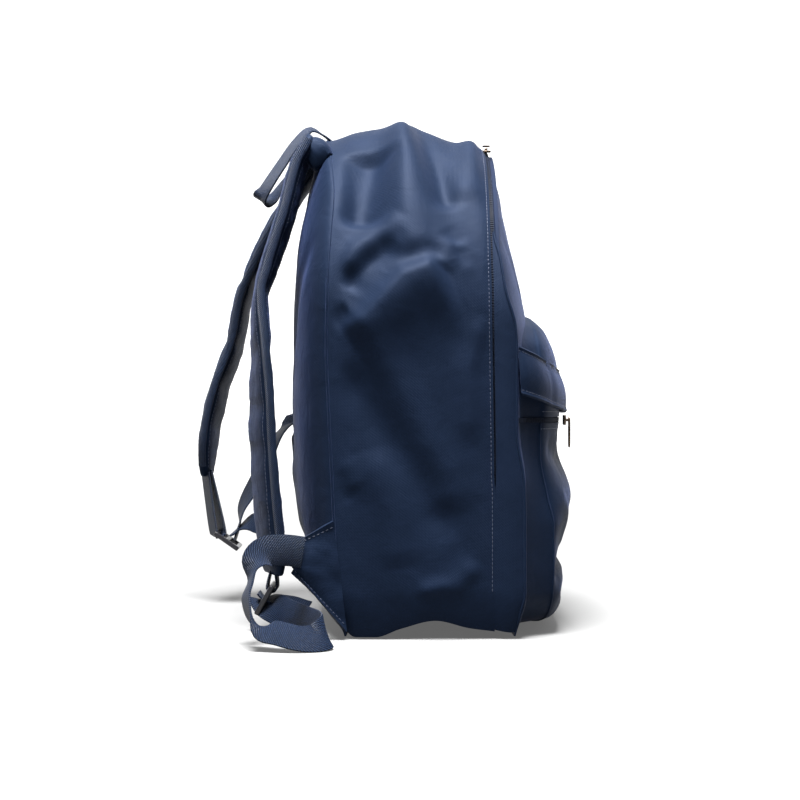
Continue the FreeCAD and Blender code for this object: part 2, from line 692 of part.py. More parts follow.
def build_shoulder_pad(name, side, route):
    """Padded strap: its side view follows the route, its front view leans outward."""
    body = new_body(name)
    half = "strap_thickness / 2"
    side_view = sketch_on(body, "YZ_Plane", shift_out=f"{side} * strap_end_middle")
    outward = [(f"{station} + {half}", level) for station, level in route]
    inward = [(f"{station} - {half}", level) for station, level in reversed(route)]
    polygon(side_view, outward + inward)
    pad(body, side_view, "3 * strap_width", symmetric=True)
    low = route[-1][1]
    high = route[0][1]
    middle = f"({low} + {high}) / 2"
    front_view = sketch_on(body, "XZ_Plane")
    root = f"{side} * strap_root_middle"
    end = f"{side} * strap_end_middle"
    inner = "strap_width / 2"
    polygon(front_view, (
        ("-2 * half_width", f"{low} - 20"), ("2 * half_width", f"{low} - 20"),
        ("2 * half_width", f"{high} + 20"), ("-2 * half_width", f"{high} + 20")))
    polygon(front_view, (
        (f"{end} - {inner} + 8", f"{low} - 1"), (f"{end} + {inner} - 8", f"{low} - 1"),
        (f"{end} + {inner}", f"{low} + 14"), (f"{end} + {inner}", middle),
        (f"{root} + {inner}", f"{high} + 1"), (f"{root} - {inner}", f"{high} + 1"),
        (f"{end} - {inner}", middle), (f"{end} - {inner}", f"{low} + 14")))
    pocket(body, front_view, WIDE)
    return body


LEFT_ROUTE = (
    ("strap_root_station", "strap_root_level"),
    ("(strap_root_station + left_belly_station) / 2 + 2", "strap_root_level - 60"),
    ("left_belly_station", "left_belly_high"),
    ("left_belly_station", "left_belly_low"),
    ("left_end_station", "left_end_level"))

RIGHT_ROUTE = (
    ("strap_root_station", "strap_root_level"),
    ("strap_root_station + 45", "strap_root_level - 60"),
    ("right_belly_station", "right_belly_high"),
    ("right_low_station", "right_belly_low"),
    ("right_end_station", "right_end_level"))


def build_strap_root(name, side):
    """Sewn root of a padded strap: a flat tongue between the strap and the back seam."""
    body = new_body(name)
    sketch = sketch_on(body, "YZ_Plane", shift_out=f"{side} * strap_root_middle")
    rear = "strap_root_station + strap_thickness / 2"
    front = "back_seam + 2"
    polygon(sketch, (
        ("strap_root_station - 5", "strap_root_level + clearance"),
        (rear, "strap_root_level + clearance"), (f"{rear} - 5", "strap_root_level + 8"),
        (front, "seam_crown + 3"), (front, "seam_crown + clearance")))
    pad(body, sketch, "strap_width - 4", symmetric=True)
    return body


def build_pad_loop(name, side, end_station, end_level, bar_station, bar_level):
    """Short webbing loop that ties a ladder lock's upper bar to the end of the pad."""
    body = new_body(name)
    sketch = sketch_on(body, "YZ_Plane", shift_out=f"{side} * strap_end_middle")
    reach = "(lock_bar / 2 + 1.4)"
    outer = f"({reach} + webbing)"
    polygon(sketch, (
        (f"{end_station} - webbing", f"{end_level} - clearance"),
        (f"{bar_station} - {outer}", f"{bar_level} + {reach}"),
        (f"{bar_station} - {outer}", f"{bar_level} - {outer}"),
        (f"{bar_station} + {outer}", f"{bar_level} - {outer}"),
        (f"{bar_station} + {outer}", f"{bar_level} + {reach}"),
        (f"{end_station} + webbing", f"{end_level} - clearance")))
    pad(body, sketch, "webbing_width", symmetric=True)
    hole = sketch_on(body, "YZ_Plane", shift_out=f"{side} * strap_end_middle")
    polygon(hole, (
        (f"{bar_station} - {reach}", f"{bar_level} - {reach}"),
        (f"{bar_station} + {reach}", f"{bar_level} - {reach}"),
        (f"{bar_station} + {reach}", f"{bar_level} + {reach}"),
        (f"{bar_station} - {reach}", f"{bar_level} + {reach}")))
    pocket(body, hole, WIDE)
    return body


def build_ladder_lock(name, side, station, level, lean):
    """Plastic adjuster: a frame with three slots, hung by its upper bar.

    It is drawn upright with the middle of its upper bar at the body's origin.
    """
    body = new_body(name)
    frame = sketch_on(body, "XZ_Plane")
    wide = "lock_width / 2"
    bar = "lock_bar / 2"
    polygon(frame, (
        (f"-{wide}", f"{bar} - lock_length"), (wide, f"{bar} - lock_length"),
        (wide, bar), (f"-{wide}", bar)))
    pad(body, frame, "lock_thickness", symmetric=True)
    slots = sketch_on(body, "XZ_Plane")
    hole = "webbing_width / 2 + 1.5"
    top = f"-({bar})"
    for number in range(2):
        low = f"{top} - lock_slot * {number + 1} - lock_bar * {number}"
        high = f"{top} - lock_slot * {number} - lock_bar * {number}"
        polygon(slots, ((f"-({hole})", low), (hole, low), (hole, high), (f"-({hole})", high)))
    pocket(body, slots, WIDE)
    body.Placement = FreeCAD.Placement(
        Vector(side * size("strap_end_middle"), size(station), size(level)),
        FreeCAD.Rotation(Vector(1, 0, 0), size(lean)))
    return body


def build_strap_ear(name, side):
    """Two-layer triangle sewn into the back seam, to which the lower webbing is sewn."""
    body = new_body(name)
    sketch = sketch_on(
        body, "YZ_Plane", shift_out=f"{side} * (ear_inset + ear_thickness / 2)")
    polygon(sketch, (
        ("ear_seam_station", "ear_low"), ("ear_seam_station + 14", "ear_low + 14"),
        ("ear_tip_station - 11", "ear_tip_low"), ("ear_tip_station", "ear_tip_low + 14"),
        ("ear_tip_station - 18", "ear_tip_high"), ("ear_seam_station + 8", "ear_high")))
    pad(body, sketch, "ear_thickness", symmetric=True)
    return body


def ribbon(name, stations):
    """Flat webbing along stations of (centre, width direction, thickness direction)."""
    wires = []
    half_width = size("webbing_width") / 2
    half_thick = size("webbing") / 2
    for centre, across, through in stations:
        middle = Vector(*centre)
        wide = Vector(*across).normalize() * half_width
        thick = Vector(*through).normalize() * half_thick
        corners = [middle - wide - thick, middle + wide - thick,
                   middle + wide + thick, middle - wide + thick]
        wires.append(Part.makePolygon(corners + corners[:1]))
    feature = doc.addObject("Part::Feature", name)
    feature.Label = name
    feature.Shape = Part.makeLoft(wires, True, True)
    return feature


def build_lower_webbing_left():
    """Adjusting webbing of the left strap, which lies on the ground beside the bag."""
    skin = -size("ear_inset + ear_thickness + clearance + webbing / 2")
    tip = size("ear_tip_station")
    level = size("ear_tip_low") + 18
    lock = -size("strap_end_middle")
    return ribbon("lower_webbing_left", (
        ((skin, tip - 8, level), (0, -4, 10), (1, 0, 0)),
        ((skin - 6, tip + 12, level - 3), (0, 3, 10), (1, -0.3, 0)),
        ((skin - 16, tip + 30, level - 22), (6, 8, 5), (1, -1, 0.4)),
        ((skin - 28, tip + 24, level - 48), (9, 4, 2), (0, 0.6, 1)),
        ((skin - 42, tip - 2, level - 68), (8, 8, 0), (0, 0, 1)),
        ((skin - 32, tip - 14, level - 72), (0, 10, 0), (0, 0, 1)),
        ((skin - 6, tip - 2, level - 70), (0, 10, 0), (0, 0, 1)),
        ((lock - 42, tip + 8, level - 68), (3, 10, 0), (0, 0, 1)),
        ((lock - 20, tip + 14, level - 66), (7, 7, 0), (0, 0, 1)),
        ((lock - 4, tip + 17, level - 64), (10, 3, 0), (0, 0, 1))))


def build_lower_webbing_right():
    """Adjusting webbing of the right strap, which stands up behind the bag."""
    skin = size("ear_inset + ear_thickness + clearance + webbing / 2")
    tip = size("ear_tip_station")
    level = size("ear_tip_low") + 18
    lock = size("strap_end_middle")
    bar = size("right_lock_station") - 28
    return ribbon("lower_webbing_right", (
        ((skin, tip - 8, level), (0, -4, 10), (1, 0, 0)),
        ((skin + 4, tip + 10, level + 22), (0, -7, 7), (1, 0, 0)),
        ((skin - 8, tip + 34, level + 52), (-2, -8, 5), (1, 0, 0.3)),
        ((skin - 30, tip + 52, level + 50), (-7, -6, 2), (0.6, 1, 1)),
        ((skin - 48, tip + 56, level + 22), (10, -2, 2), (0, 1, 0.3)),
        ((lock + 4, bar + 2, level - 12), (10, 0, 0), (0, 1, 0.2))))


# ---------------------------------------------------------------------------------- build

LEFT = -1
RIGHT = 1

sub_parts = [
    build_rear_gusset(),
    build_base_panel(),
    back_layer("back_cover", "0", "cloth"),
    back_layer("back_foam", "cloth + clearance", "foam"),
    back_layer("back_lining", "cloth + foam + 2 * clearance", "lining"),
    build_back_seam_tape(),
    build_front_panel(),
    build_mouth_panel(),
    build_front_gusset("front_gusset_left", LEFT),
    build_front_gusset("front_gusset_right", RIGHT),
    build_main_zip_rear(),
    build_main_zip_front_upper(),
    build_main_zip_front_lower(),
    build_pocket_piece("pocket_panel", high="pocket_zip_low"),
    build_pocket_piece("pocket_zip", low="pocket_zip_low + clearance",
                       high="pocket_zip_high - clearance"),
    build_pocket_piece("pocket_top", low="pocket_zip_high"),
    build_pocket_flap(),
    build_main_slider("main_slider_left", LEFT),
    build_main_slider("main_slider_right", RIGHT),
    build_main_pull("main_pull_left", LEFT),
    build_main_pull("main_pull_right", RIGHT),
    build_pocket_slider(),
    build_pocket_pull(),
    build_haul_loop(),
    build_shoulder_pad("shoulder_pad_left", LEFT, LEFT_ROUTE),
    build_shoulder_pad("shoulder_pad_right", RIGHT, RIGHT_ROUTE),
    build_strap_root("strap_root_left", LEFT),
    build_strap_root("strap_root_right", RIGHT),
    build_pad_loop("pad_loop_left", LEFT, *LEFT_ROUTE[-1],
                   "left_lock_station", "left_lock_level"),
    build_pad_loop("pad_loop_right", RIGHT, *RIGHT_ROUTE[-1],
                   "right_lock_station", "right_lock_level"),
    build_ladder_lock("ladder_lock_left", LEFT, "left_lock_station", "left_lock_level",
                      "left_lock_lean"),
    build_ladder_lock("ladder_lock_right", RIGHT, "right_lock_station", "right_lock_level",
                      "right_lock_lean"),
    build_strap_ear("strap_ear_left", LEFT),
    build_strap_ear("strap_ear_right", RIGHT),
    build_lower_webbing_left(),
    build_lower_webbing_right(),
]
doc.recompute()

for item in doc.Objects:
    if "Invalid" in item.State or "Error" in item.State:
        raise ValueError(f"{item.Label} failed: {item.State}")
for part in sub_parts:
    if part.Shape.isNull() or not part.Shape.isValid() or part.Shape.Volume <= 0:
        raise ValueError(f"{part.Label} has no valid solid")
for part in sub_parts:
    part.Shape.exportStep(f"parts/{part.Label}.step")
    box = part.Shape.BoundBox
    print(f"{part.Label}: {part.Shape.Volume:.0f} mm3, {len(part.Shape.Solids)} solid,"
          f" x {box.XMin:.1f}..{box.XMax:.1f} y {box.YMin:.1f}..{box.YMax:.1f}"
          f" z {box.ZMin:.1f}..{box.ZMax:.1f}")
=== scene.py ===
import json
import math

import bmesh
import bpy
import numpy as np
from mathutils import Matrix, Vector, noise


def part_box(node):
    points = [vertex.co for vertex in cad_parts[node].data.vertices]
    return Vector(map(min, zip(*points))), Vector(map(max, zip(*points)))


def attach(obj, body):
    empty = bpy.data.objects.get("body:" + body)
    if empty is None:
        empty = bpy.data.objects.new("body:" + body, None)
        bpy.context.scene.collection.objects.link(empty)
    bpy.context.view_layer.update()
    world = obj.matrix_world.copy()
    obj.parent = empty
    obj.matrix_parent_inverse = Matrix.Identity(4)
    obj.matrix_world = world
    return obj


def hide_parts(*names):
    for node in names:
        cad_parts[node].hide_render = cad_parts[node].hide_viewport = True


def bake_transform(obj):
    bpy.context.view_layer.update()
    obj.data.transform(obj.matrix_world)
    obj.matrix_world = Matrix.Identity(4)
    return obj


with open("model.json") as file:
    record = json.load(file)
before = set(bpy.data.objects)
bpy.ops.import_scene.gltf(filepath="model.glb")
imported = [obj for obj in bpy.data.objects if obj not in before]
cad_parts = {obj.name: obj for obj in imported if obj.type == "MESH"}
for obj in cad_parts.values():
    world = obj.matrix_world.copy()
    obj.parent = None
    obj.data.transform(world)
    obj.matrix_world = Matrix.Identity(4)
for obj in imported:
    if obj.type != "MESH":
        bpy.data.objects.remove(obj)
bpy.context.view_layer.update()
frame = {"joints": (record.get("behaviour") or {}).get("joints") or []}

bl_info = {
    "name": "School backpack look",
    "version": (1, 0, 0),
    "blender": (4, 5, 0),
    "location": "View3D > Sidebar > Backpack",
    "description": "Builds the cloth, webbing and fittings of a school backpack on its CAD frame",
    "category": "Object",
}

BAG = "bag"

# The bag is an arch: two upright sides joined by a half circle over the top.
ARCH_RADIUS = 0.152
ARCH_SPRING = 0.253
ARCH_LENGTH = ARCH_SPRING + ARCH_RADIUS * math.pi / 2
SIDE_WALL = 0.0014

# Ends of the cloth colour mix: the random mottle and the painted shade of the weave move between
# them.
NAVY = (0.0024, 0.0050, 0.0115)
LIT_NAVY = (0.0042, 0.0080, 0.0190)
# Darkest webbing colour: painted shade in the troughs of the ribs, and the darker fibres.
RIB_SHADE_AND_DARK_FIBRE_NAVY = (0.0016, 0.0034, 0.0080)

# Widths and thickness of the webbing, and how far from the middle each strap starts and ends.
STRAP_WEBBING = 0.0245
HAUL_WEBBING = 0.020
WEBBING_THICKNESS = 0.0017
STRAP_ROOT_X = 0.058
STRAP_END_X = 0.092


# ------------------------------------------------------------------------------- settings

class BackpackLook(bpy.types.PropertyGroup):
    fold_depth: bpy.props.FloatProperty(
        name="Fold depth", description="Scale of the folds in the cloth", default=1.0,
        min=0.0, max=2.0)
    weave_pitch: bpy.props.FloatProperty(
        name="Weave pitch", description="Distance between threads of the shell cloth",
        default=0.0011, subtype="DISTANCE", unit="LENGTH")
    rib_pitch: bpy.props.FloatProperty(
        name="Rib pitch", description="Distance between ribs of the webbing",
        default=0.0018, subtype="DISTANCE", unit="LENGTH")
    stitch_length: bpy.props.FloatProperty(
        name="Stitch length", description="Length of one stitch with its gap",
        default=0.0034, subtype="DISTANCE", unit="LENGTH")
    tooth_pitch: bpy.props.FloatProperty(
        name="Tooth pitch", description="Distance between two teeth of one zip tape",
        default=0.0021, subtype="DISTANCE", unit="LENGTH")
    pad_pressure: bpy.props.FloatProperty(
        name="Pad pressure", description="Pressure that swells the padded straps",
        default=3.0, min=0.0)


def look():
    """The settings of this scene."""
    return bpy.context.scene.backpack_look


# --------------------------------------------------------------------------- shape helpers

def smooth_curve(points):
    """Monotone cubic through (x, value) points, as a function of arrays."""
    knots = np.array([point[0] for point in points], float)
    values = np.array([point[1] for point in points], float)
    steps = np.diff(knots)
    slopes = np.diff(values) / steps
    tangents = np.zeros(len(knots))
    tangents[0] = slopes[0]
    tangents[-1] = slopes[-1]
    rising = slopes[:-1] * slopes[1:] > 0
    tangents[1:-1][rising] = 2 * slopes[:-1][rising] * slopes[1:][rising] / (
        slopes[:-1][rising] + slopes[1:][rising])

    def value_at(x):
        """Value of the curve at x, held level past its ends."""
        x = np.clip(np.asarray(x, float), knots[0], knots[-1])
        cell = np.clip(np.searchsorted(knots, x) - 1, 0, len(knots) - 2)
        width = steps[cell]
        part = (x - knots[cell]) / width
        return (
            (1 + 2 * part) * (1 - part) ** 2 * values[cell]
            + part * (1 - part) ** 2 * width * tangents[cell]
            + part ** 2 * (3 - 2 * part) * values[cell + 1]
            + part ** 2 * (part - 1) * width * tangents[cell + 1])

    return value_at


def smooth_step(low, high, x):
    """0 before low, 1 after high, and an even S between them."""
    part = np.clip((np.asarray(x, float) - low) / (high - low), 0, 1)
    return part * part * (3 - 2 * part)


def smooth_path(points, count):
    """Evenly spaced points on a smooth curve through the given points."""
    points = np.array(points, float)
    lengths = np.r_[0, np.cumsum(np.linalg.norm(np.diff(points[:, :3], axis=0), axis=1))]
    where = np.linspace(0, lengths[-1], count * 4)
    dense = spline(lengths, points, where)
    along = np.r_[0, np.cumsum(np.linalg.norm(np.diff(dense[:, :3], axis=0), axis=1))]
    even = np.interp(np.linspace(0, along[-1], count), along, where)
    return spline(lengths, points, even)


def spline(knots, values, where):
    """Catmull-Rom interpolation of rows of values."""
    cell = np.clip(np.searchsorted(knots, where, side="right") - 1, 0, len(knots) - 2)
    before = np.clip(cell - 1, 0, None)
    after = np.clip(cell + 2, None, len(knots) - 1)
    width = (knots[cell + 1] - knots[cell])[:, None]
    part = ((where - knots[cell]) / width[:, 0])[:, None]
    start = (values[cell + 1] - values[before]) / (knots[cell + 1] - knots[before])[:, None]
    end = (values[after] - values[cell]) / (knots[after] - knots[cell])[:, None]
    return (
        (1 + 2 * part) * (1 - part) ** 2 * values[cell]
        + part * (1 - part) ** 2 * width * start
        + part ** 2 * (3 - 2 * part) * values[cell + 1]
        + part ** 2 * (part - 1) * width * end)


def unit(vectors):
    """Vectors of length 1 in the same directions."""
    length = np.linalg.norm(vectors, axis=-1, keepdims=True)
    return vectors / np.maximum(length, 1e-12)


def grid_normals(grid, centre):
    """Unit normals of a grid of points, turned away from the centre."""
    normals = unit(np.cross(np.gradient(grid, axis=0), np.gradient(grid, axis=1)))
    if np.sum(normals * (grid - np.asarray(centre))) < 0:
        normals = -normals
    return normals


def row_lengths(grid, axis):
    """Distance of each point of a grid from the start of its row, along one axis."""
    step = np.linalg.norm(np.diff(grid, axis=axis), axis=2)
    start = np.zeros_like(np.take(step, [0], axis=axis))
    return np.concatenate([start, np.cumsum(step, axis=axis)], axis=axis)


def mesh_object(name, points, faces, uvs=None, slots=None, materials=()):
    """New object with the given faces, one UV for each point and a material slot for each face."""
    mesh = bpy.data.meshes.new(name)
    mesh.from_pydata([tuple(point) for point in points], [], faces)
    if uvs is not None:
        layer = mesh.uv_layers.new(name="UVMap")
        corners = np.array([loop.vertex_index for loop in mesh.loops])
        layer.data.foreach_set("uv", np.asarray(uvs, float)[corners].ravel())
    for material in materials:
        mesh.materials.append(material)
    if slots is not None:
        mesh.polygons.foreach_set("material_index", slots)
    obj = bpy.data.objects.new(name, mesh)
    bpy.context.scene.collection.objects.link(obj)
    return obj


def finish_mesh(obj, crease=50):
    """Merge doubled points at poles, turn normals outward, and shade smooth."""
    work = bmesh.new()
    work.from_mesh(obj.data)
    bmesh.ops.remove_doubles(work, verts=work.verts, dist=2e-6)
    bmesh.ops.dissolve_degenerate(work, edges=work.edges, dist=1e-7)
    bmesh.ops.recalc_face_normals(work, faces=work.faces)
    work.to_mesh(obj.data)
    work.free()
    obj.data.shade_smooth()
    obj.data.set_sharp_from_angle(angle=math.radians(crease))
    return obj


def cloth_panel(name, grid, centre, materials, thickness=SIDE_WALL):
    """Thin cloth of even thickness whose outer face is the grid of points."""
    count, across = grid.shape[:2]
    inner = grid - grid_normals(grid, centre) * thickness
    points = np.concatenate([grid.reshape(-1, 3), inner.reshape(-1, 3)])
    lengths = np.stack([row_lengths(grid, 0), row_lengths(grid, 1)], axis=2).reshape(-1, 2)
    uvs = np.concatenate([lengths, lengths])
    shift = count * across
    faces = []
    slots = []
    for row in range(count - 1):
        for column in range(across - 1):
            start = row * across + column
            corners = (start, start + across, start + across + 1, start + 1)
            faces.append(corners)
            faces.append(tuple(shift + corner for corner in reversed(corners)))
            slots += [0, 1]
    last = (count - 1) * across
    edges = [(column, column + 1) for column in range(across - 1)]
    edges += [(last + column + 1, last + column) for column in range(across - 1)]
    for row in range(0, last, across):
        edges.append((row + across, row))
        edges.append((row + across - 1, row + 2 * across - 1))
    for start, end in edges:
        faces.append((start, end, end + shift, start + shift))
        slots.append(0)
    obj = mesh_object(name, points, faces, uvs, slots, materials)
    return finish_mesh(obj)


def tube_skin(name, sections, materials, caps=True):
    """Closed skin over a row of closed sections with the same number of points."""
    count, around = sections.shape[:2]
    points = sections.reshape(-1, 3)
    faces = []
    for row in range(count - 1):
        for column in range(around):
            following = (column + 1) % around
            faces.append((
                row * around + column, row * around + following,
                (row + 1) * around + following, (row + 1) * around + column))
    if caps:
        faces.append(tuple(range(around)))
        faces.append(tuple(reversed(range((count - 1) * around, count * around))))
    along = row_lengths(sections, 0).reshape(-1)
    loop = np.concatenate([sections, sections[:, :1]], axis=1)
    circumference = row_lengths(loop, 1)[:, :-1].reshape(-1)
    uvs = np.stack([along, circumference], axis=1)
    obj = mesh_object(name, points, faces, uvs, None, materials)
    return finish_mesh(obj, crease=60)


def frames_along(points, width_hints):
    """Width and thickness directions along a path."""
    tangents = unit(np.gradient(points, axis=0))
    widths = unit(width_hints - tangents * np.sum(width_hints * tangents, axis=1)[:, None])
    return widths, np.cross(tangents, widths)


def ribbon(name, stations, width):
    """Flat webbing along stations of (x, y, z, width direction x, y, z), and its middle line."""
    stations = np.array(stations, float)
    stations[:, 3:] = unit(stations[:, 3:])
    length = np.sum(np.linalg.norm(np.diff(stations[:, :3], axis=0), axis=1))
    path = smooth_path(stations, max(8, int(length / 0.0025)))
    points = path[:, :3]
    wide, thick = frames_along(points, path[:, 3:])
    outline = [(-1, -0.55), (-0.94, -1), (0, -1), (0.94, -1), (1, -0.55),
               (1, 0.55), (0.94, 1), (0, 1), (-0.94, 1), (-1, 0.55)]
    across = np.array([offset[0] for offset in outline])[None, :, None] * width / 2
    through = np.array([offset[1] for offset in outline])[None, :, None] * WEBBING_THICKNESS / 2
    sections = points[:, None, :] + wide[:, None, :] * across + thick[:, None, :] * through
    obj = tube_skin(name, sections, [MATERIALS["webbing"]])
    layer = obj.data.uv_layers["UVMap"]
    lengths = np.r_[0, np.cumsum(np.linalg.norm(np.diff(points, axis=0), axis=1))]
    for loop in obj.data.loops:
        row, column = divmod(loop.vertex_index, len(outline))
        layer.data[loop.index].uv = (lengths[row], outline[column][0] * width / 2)
    return obj, points


def folds_at(y, height, folds):
    """Outward displacement of the cloth from a list of creases.

    Each fold is (points, rise, width on its left, width on its right), where left and right
    are seen travelling along the points in the (y, height) plane.
    """
    total = np.zeros(np.broadcast(y, height).shape)
    for points, rise, left_width, right_width in folds:
        points = np.array(points, float)
        best = np.full(total.shape, 1e9)
        side = np.zeros(total.shape)
        travel = np.zeros(total.shape)
        for number, (start, end) in enumerate(zip(points[:-1], points[1:])):
            run = end - start
            size = np.hypot(*run)
            offset_y = y - start[0]
            offset_h = height - start[1]
            part = np.clip((offset_y * run[0] + offset_h * run[1]) / size ** 2, 0, 1)
            distance = np.hypot(offset_y - part * run[0], offset_h - part * run[1])
            nearer = distance < best
            cross = run[0] * offset_h - run[1] * offset_y
            best = np.where(nearer, distance, best)
            side = np.where(nearer, cross / size, side)
            travel = np.where(nearer, (number + part) / (len(points) - 1), travel)
        blend = smooth_step(-0.002, 0.002, side)
        width = left_width * blend + right_width * (1 - blend)
        ends = smooth_step(-0.05, 0.18, travel) * smooth_step(-0.05, 0.18, 1 - travel)
        total += rise * ends * np.exp(-(best / width) ** 2)
    return total * look().fold_depth


def ripple(a, b, scale, amount, seed):
    """Gentle irregular undulation of cloth, from noise that is the same every run."""
    flat = [
        noise.noise(Vector((x / scale, y / scale, seed)))
        + 0.5 * noise.noise(Vector((x / scale * 2.1, y / scale * 2.3, seed + 7.3)))
        for x, y in zip(np.ravel(a), np.ravel(b))]
    return amount * np.array(flat).reshape(np.shape(a))


# ------------------------------------------------------------------------------ node tools

def add(tree, kind, place=(0, 0), **values):
    """New node with some of its properties set."""
    node = tree.nodes.new(kind)
    node.location = place
    for key, value in values.items():
        setattr(node, key, value)
    return node


def shader_group(name, outputs, inputs=()):
    """New shader group with its input and output nodes."""
    tree = bpy.data.node_groups.new(name, "ShaderNodeTree")
    for label, kind in outputs:
        tree.interface.new_socket(label, in_out="OUTPUT", socket_type=kind)
    for label, kind, default in inputs:
        socket = tree.interface.new_socket(label, in_out="INPUT", socket_type=kind)
        socket.default_value = default
    return tree, add(tree, "NodeGroupInput", (-900, 0)), add(tree, "NodeGroupOutput", (900, 0))


def maths(tree, operation, *values, clamp=False):
    """Output of a new math node whose inputs are sockets or constants."""
    node = add(tree, "ShaderNodeMath", operation=operation, use_clamp=clamp)
    for index, value in enumerate(values):
        if hasattr(value, "is_output"):
            tree.links.new(value, node.inputs[index])
        else:
            node.inputs[index].default_value = value
    return node.outputs[0]


def noise_texture(tree, vector, scale, detail=None, place=(-900, 0)):
    """Output of a new noise texture."""
    texture = add(tree, "ShaderNodeTexNoise", place)
    texture.inputs["Scale"].default_value = scale
    if detail is not None:
        texture.inputs["Detail"].default_value = detail
    tree.links.new(vector, texture.inputs["Vector"])
    return texture.outputs["Fac"]


def colour_between(tree, shader, dark, light, factor):
    """Base colour that goes from dark to light with a factor."""
    ramp = add(tree, "ShaderNodeMix", (-500, 200), data_type="RGBA")
    ramp.inputs["A"].default_value = (*dark, 1)
    ramp.inputs["B"].default_value = (*light, 1)
    tree.links.new(factor, ramp.inputs["Factor"])
    tree.links.new(ramp.outputs["Result"], shader.inputs["Base Color"])


def weave_group():
    """Plain weave: threads that pass over and under each other, with slubs, and a painted shade
    output for the colour, darker where a thread dips under.
    """
    tree, given, result = shader_group(
        "plain_weave",
        (("Height", "NodeSocketFloat"), ("PaintedWeaveShade", "NodeSocketFloat"),
         ("Mottle", "NodeSocketFloat")),
        (("Pitch", "NodeSocketFloat", 0.001),))
    uv = add(tree, "ShaderNodeTexCoord", (-900, 300))
    split = add(tree, "ShaderNodeSeparateXYZ", (-700, 300))
    tree.links.new(uv.outputs["UV"], split.inputs[0])
    waves = []
    for index in range(2):
        turns = maths(tree, "DIVIDE", split.outputs[index], given.outputs["Pitch"])
        waves.append(maths(tree, "SINE", maths(tree, "MULTIPLY", turns, math.pi)))
    over = maths(tree, "MULTIPLY", waves[0], waves[1])
    ridges = maths(tree, "MULTIPLY", maths(tree, "ABSOLUTE", waves[0]),
                   maths(tree, "ABSOLUTE", waves[1]))
    height = maths(tree, "ADD", maths(tree, "MULTIPLY", over, 0.35), ridges)
    slub = noise_texture(tree, uv.outputs["UV"], 900, 2, (-500, -200))
    mottle = noise_texture(tree, uv.outputs["Object"], 34, 5, (-500, -500))
    mottle.node.inputs["Roughness"].default_value = 0.6
    uneven = maths(tree, "MULTIPLY", slub, 0.5)
    tree.links.new(maths(tree, "ADD", height, uneven), result.inputs["Height"])
    # Painted shade of the weave for the colour: lighter where a thread rides over, darker where it
    # dips under.
    tree.links.new(over, result.inputs["PaintedWeaveShade"])
    tree.links.new(mottle, result.inputs["Mottle"])
    return tree


def rib_group():
    """Webbing: diagonal ribs across the strip with fine threads in them, and painted shade that
    darkens the troughs between the ribs.
    """
    tree, given, result = shader_group(
        "webbing_rib",
        (("Height", "NodeSocketFloat"), ("Light", "NodeSocketFloat")),
        (("Pitch", "NodeSocketFloat", 0.002),))
    uv = add(tree, "ShaderNodeTexCoord", (-900, 300))
    split = add(tree, "ShaderNodeSeparateXYZ", (-700, 300))
    tree.links.new(uv.outputs["UV"], split.inputs[0])
    slanted = maths(tree, "ADD", split.outputs[0],
                    maths(tree, "MULTIPLY", split.outputs[1], 0.75))
    turns = maths(tree, "DIVIDE", slanted, given.outputs["Pitch"])
    rib = maths(tree, "SINE", maths(tree, "MULTIPLY", turns, 2 * math.pi))
    threads = maths(tree, "SINE", maths(tree, "MULTIPLY", split.outputs[1], 5200))
    height = maths(tree, "ADD", rib, maths(tree, "MULTIPLY", threads, 0.25))
    # Painted shade: lighter on the crests of the ribs, darker in the troughs.
    light = maths(tree, "MULTIPLY_ADD", rib, 0.5, 0.5)
    tree.links.new(height, result.inputs["Height"])
    tree.links.new(light, result.inputs["Light"])
    return tree


def principled(name, **values):
    """New material with its tree and its Principled shader, some of whose inputs are set."""
    material = bpy.data.materials.new(name)
    material.use_nodes = True
    tree = material.node_tree
    shader = tree.nodes["Principled BSDF"]
    for label, value in values.items():
        shader.inputs[label].default_value = value
    return material, tree, shader


def bump_into(tree, shader, height, distance, strength=1.0, base=None):
    """Normal bumped by a height, on top of a base normal, and into a shader if one is given."""
    bump = add(tree, "ShaderNodeBump", (-200, -300))
    bump.inputs["Strength"].default_value = strength
    bump.inputs["Distance"].default_value = distance
    tree.links.new(height, bump.inputs["Height"])
    if base is not None:
        tree.links.new(base, bump.inputs["Normal"])
    if shader is not None:
        tree.links.new(bump.outputs["Normal"], shader.inputs["Normal"])
    return bump.outputs["Normal"]


def cloth_material(name, groups, dark, light, roughness=0.58, sheen=0.05, crumple=0.0006):
    """Woven polyester: thread bump, small crumples, mottled colour with painted shade of the weave
    in it, and a soft sheen.
    """
    material, tree, shader = principled(name)
    shader.inputs["Sheen Weight"].default_value = sheen
    shader.inputs["Sheen Roughness"].default_value = 0.30
    shader.inputs["Sheen Tint"].default_value = (0.30, 0.42, 1.0, 1)
    shader.inputs["Specular IOR Level"].default_value = 0.07
    shader.inputs["Specular Tint"].default_value = (0.46, 0.61, 1.0, 1)
    weave = add(tree, "ShaderNodeGroup", (-900, 0), node_tree=groups["weave"])
    weave.inputs["Pitch"].default_value = look().weave_pitch
    # Painted shade of the weave, added to the random mottle that picks the colour.
    thread = maths(tree, "MULTIPLY", weave.outputs["PaintedWeaveShade"], 0.22)
    colour_between(tree, shader, dark, light,
                   maths(tree, "ADD", weave.outputs["Mottle"], thread, clamp=True))
    rough = maths(tree, "MULTIPLY_ADD", weave.outputs["Mottle"], 0.16, roughness - 0.08)
    tree.links.new(rough, shader.inputs["Roughness"])
    where = add(tree, "ShaderNodeTexCoord", (-1100, -500))
    crease = noise_texture(tree, where.outputs["Object"], 55, 4, (-900, -500))
    crease.node.inputs["Distortion"].default_value = 0.8
    large = bump_into(tree, None, crease, crumple)
    bump_into(tree, shader, weave.outputs["Height"], 0.00011, 0.8, base=large)
    return material


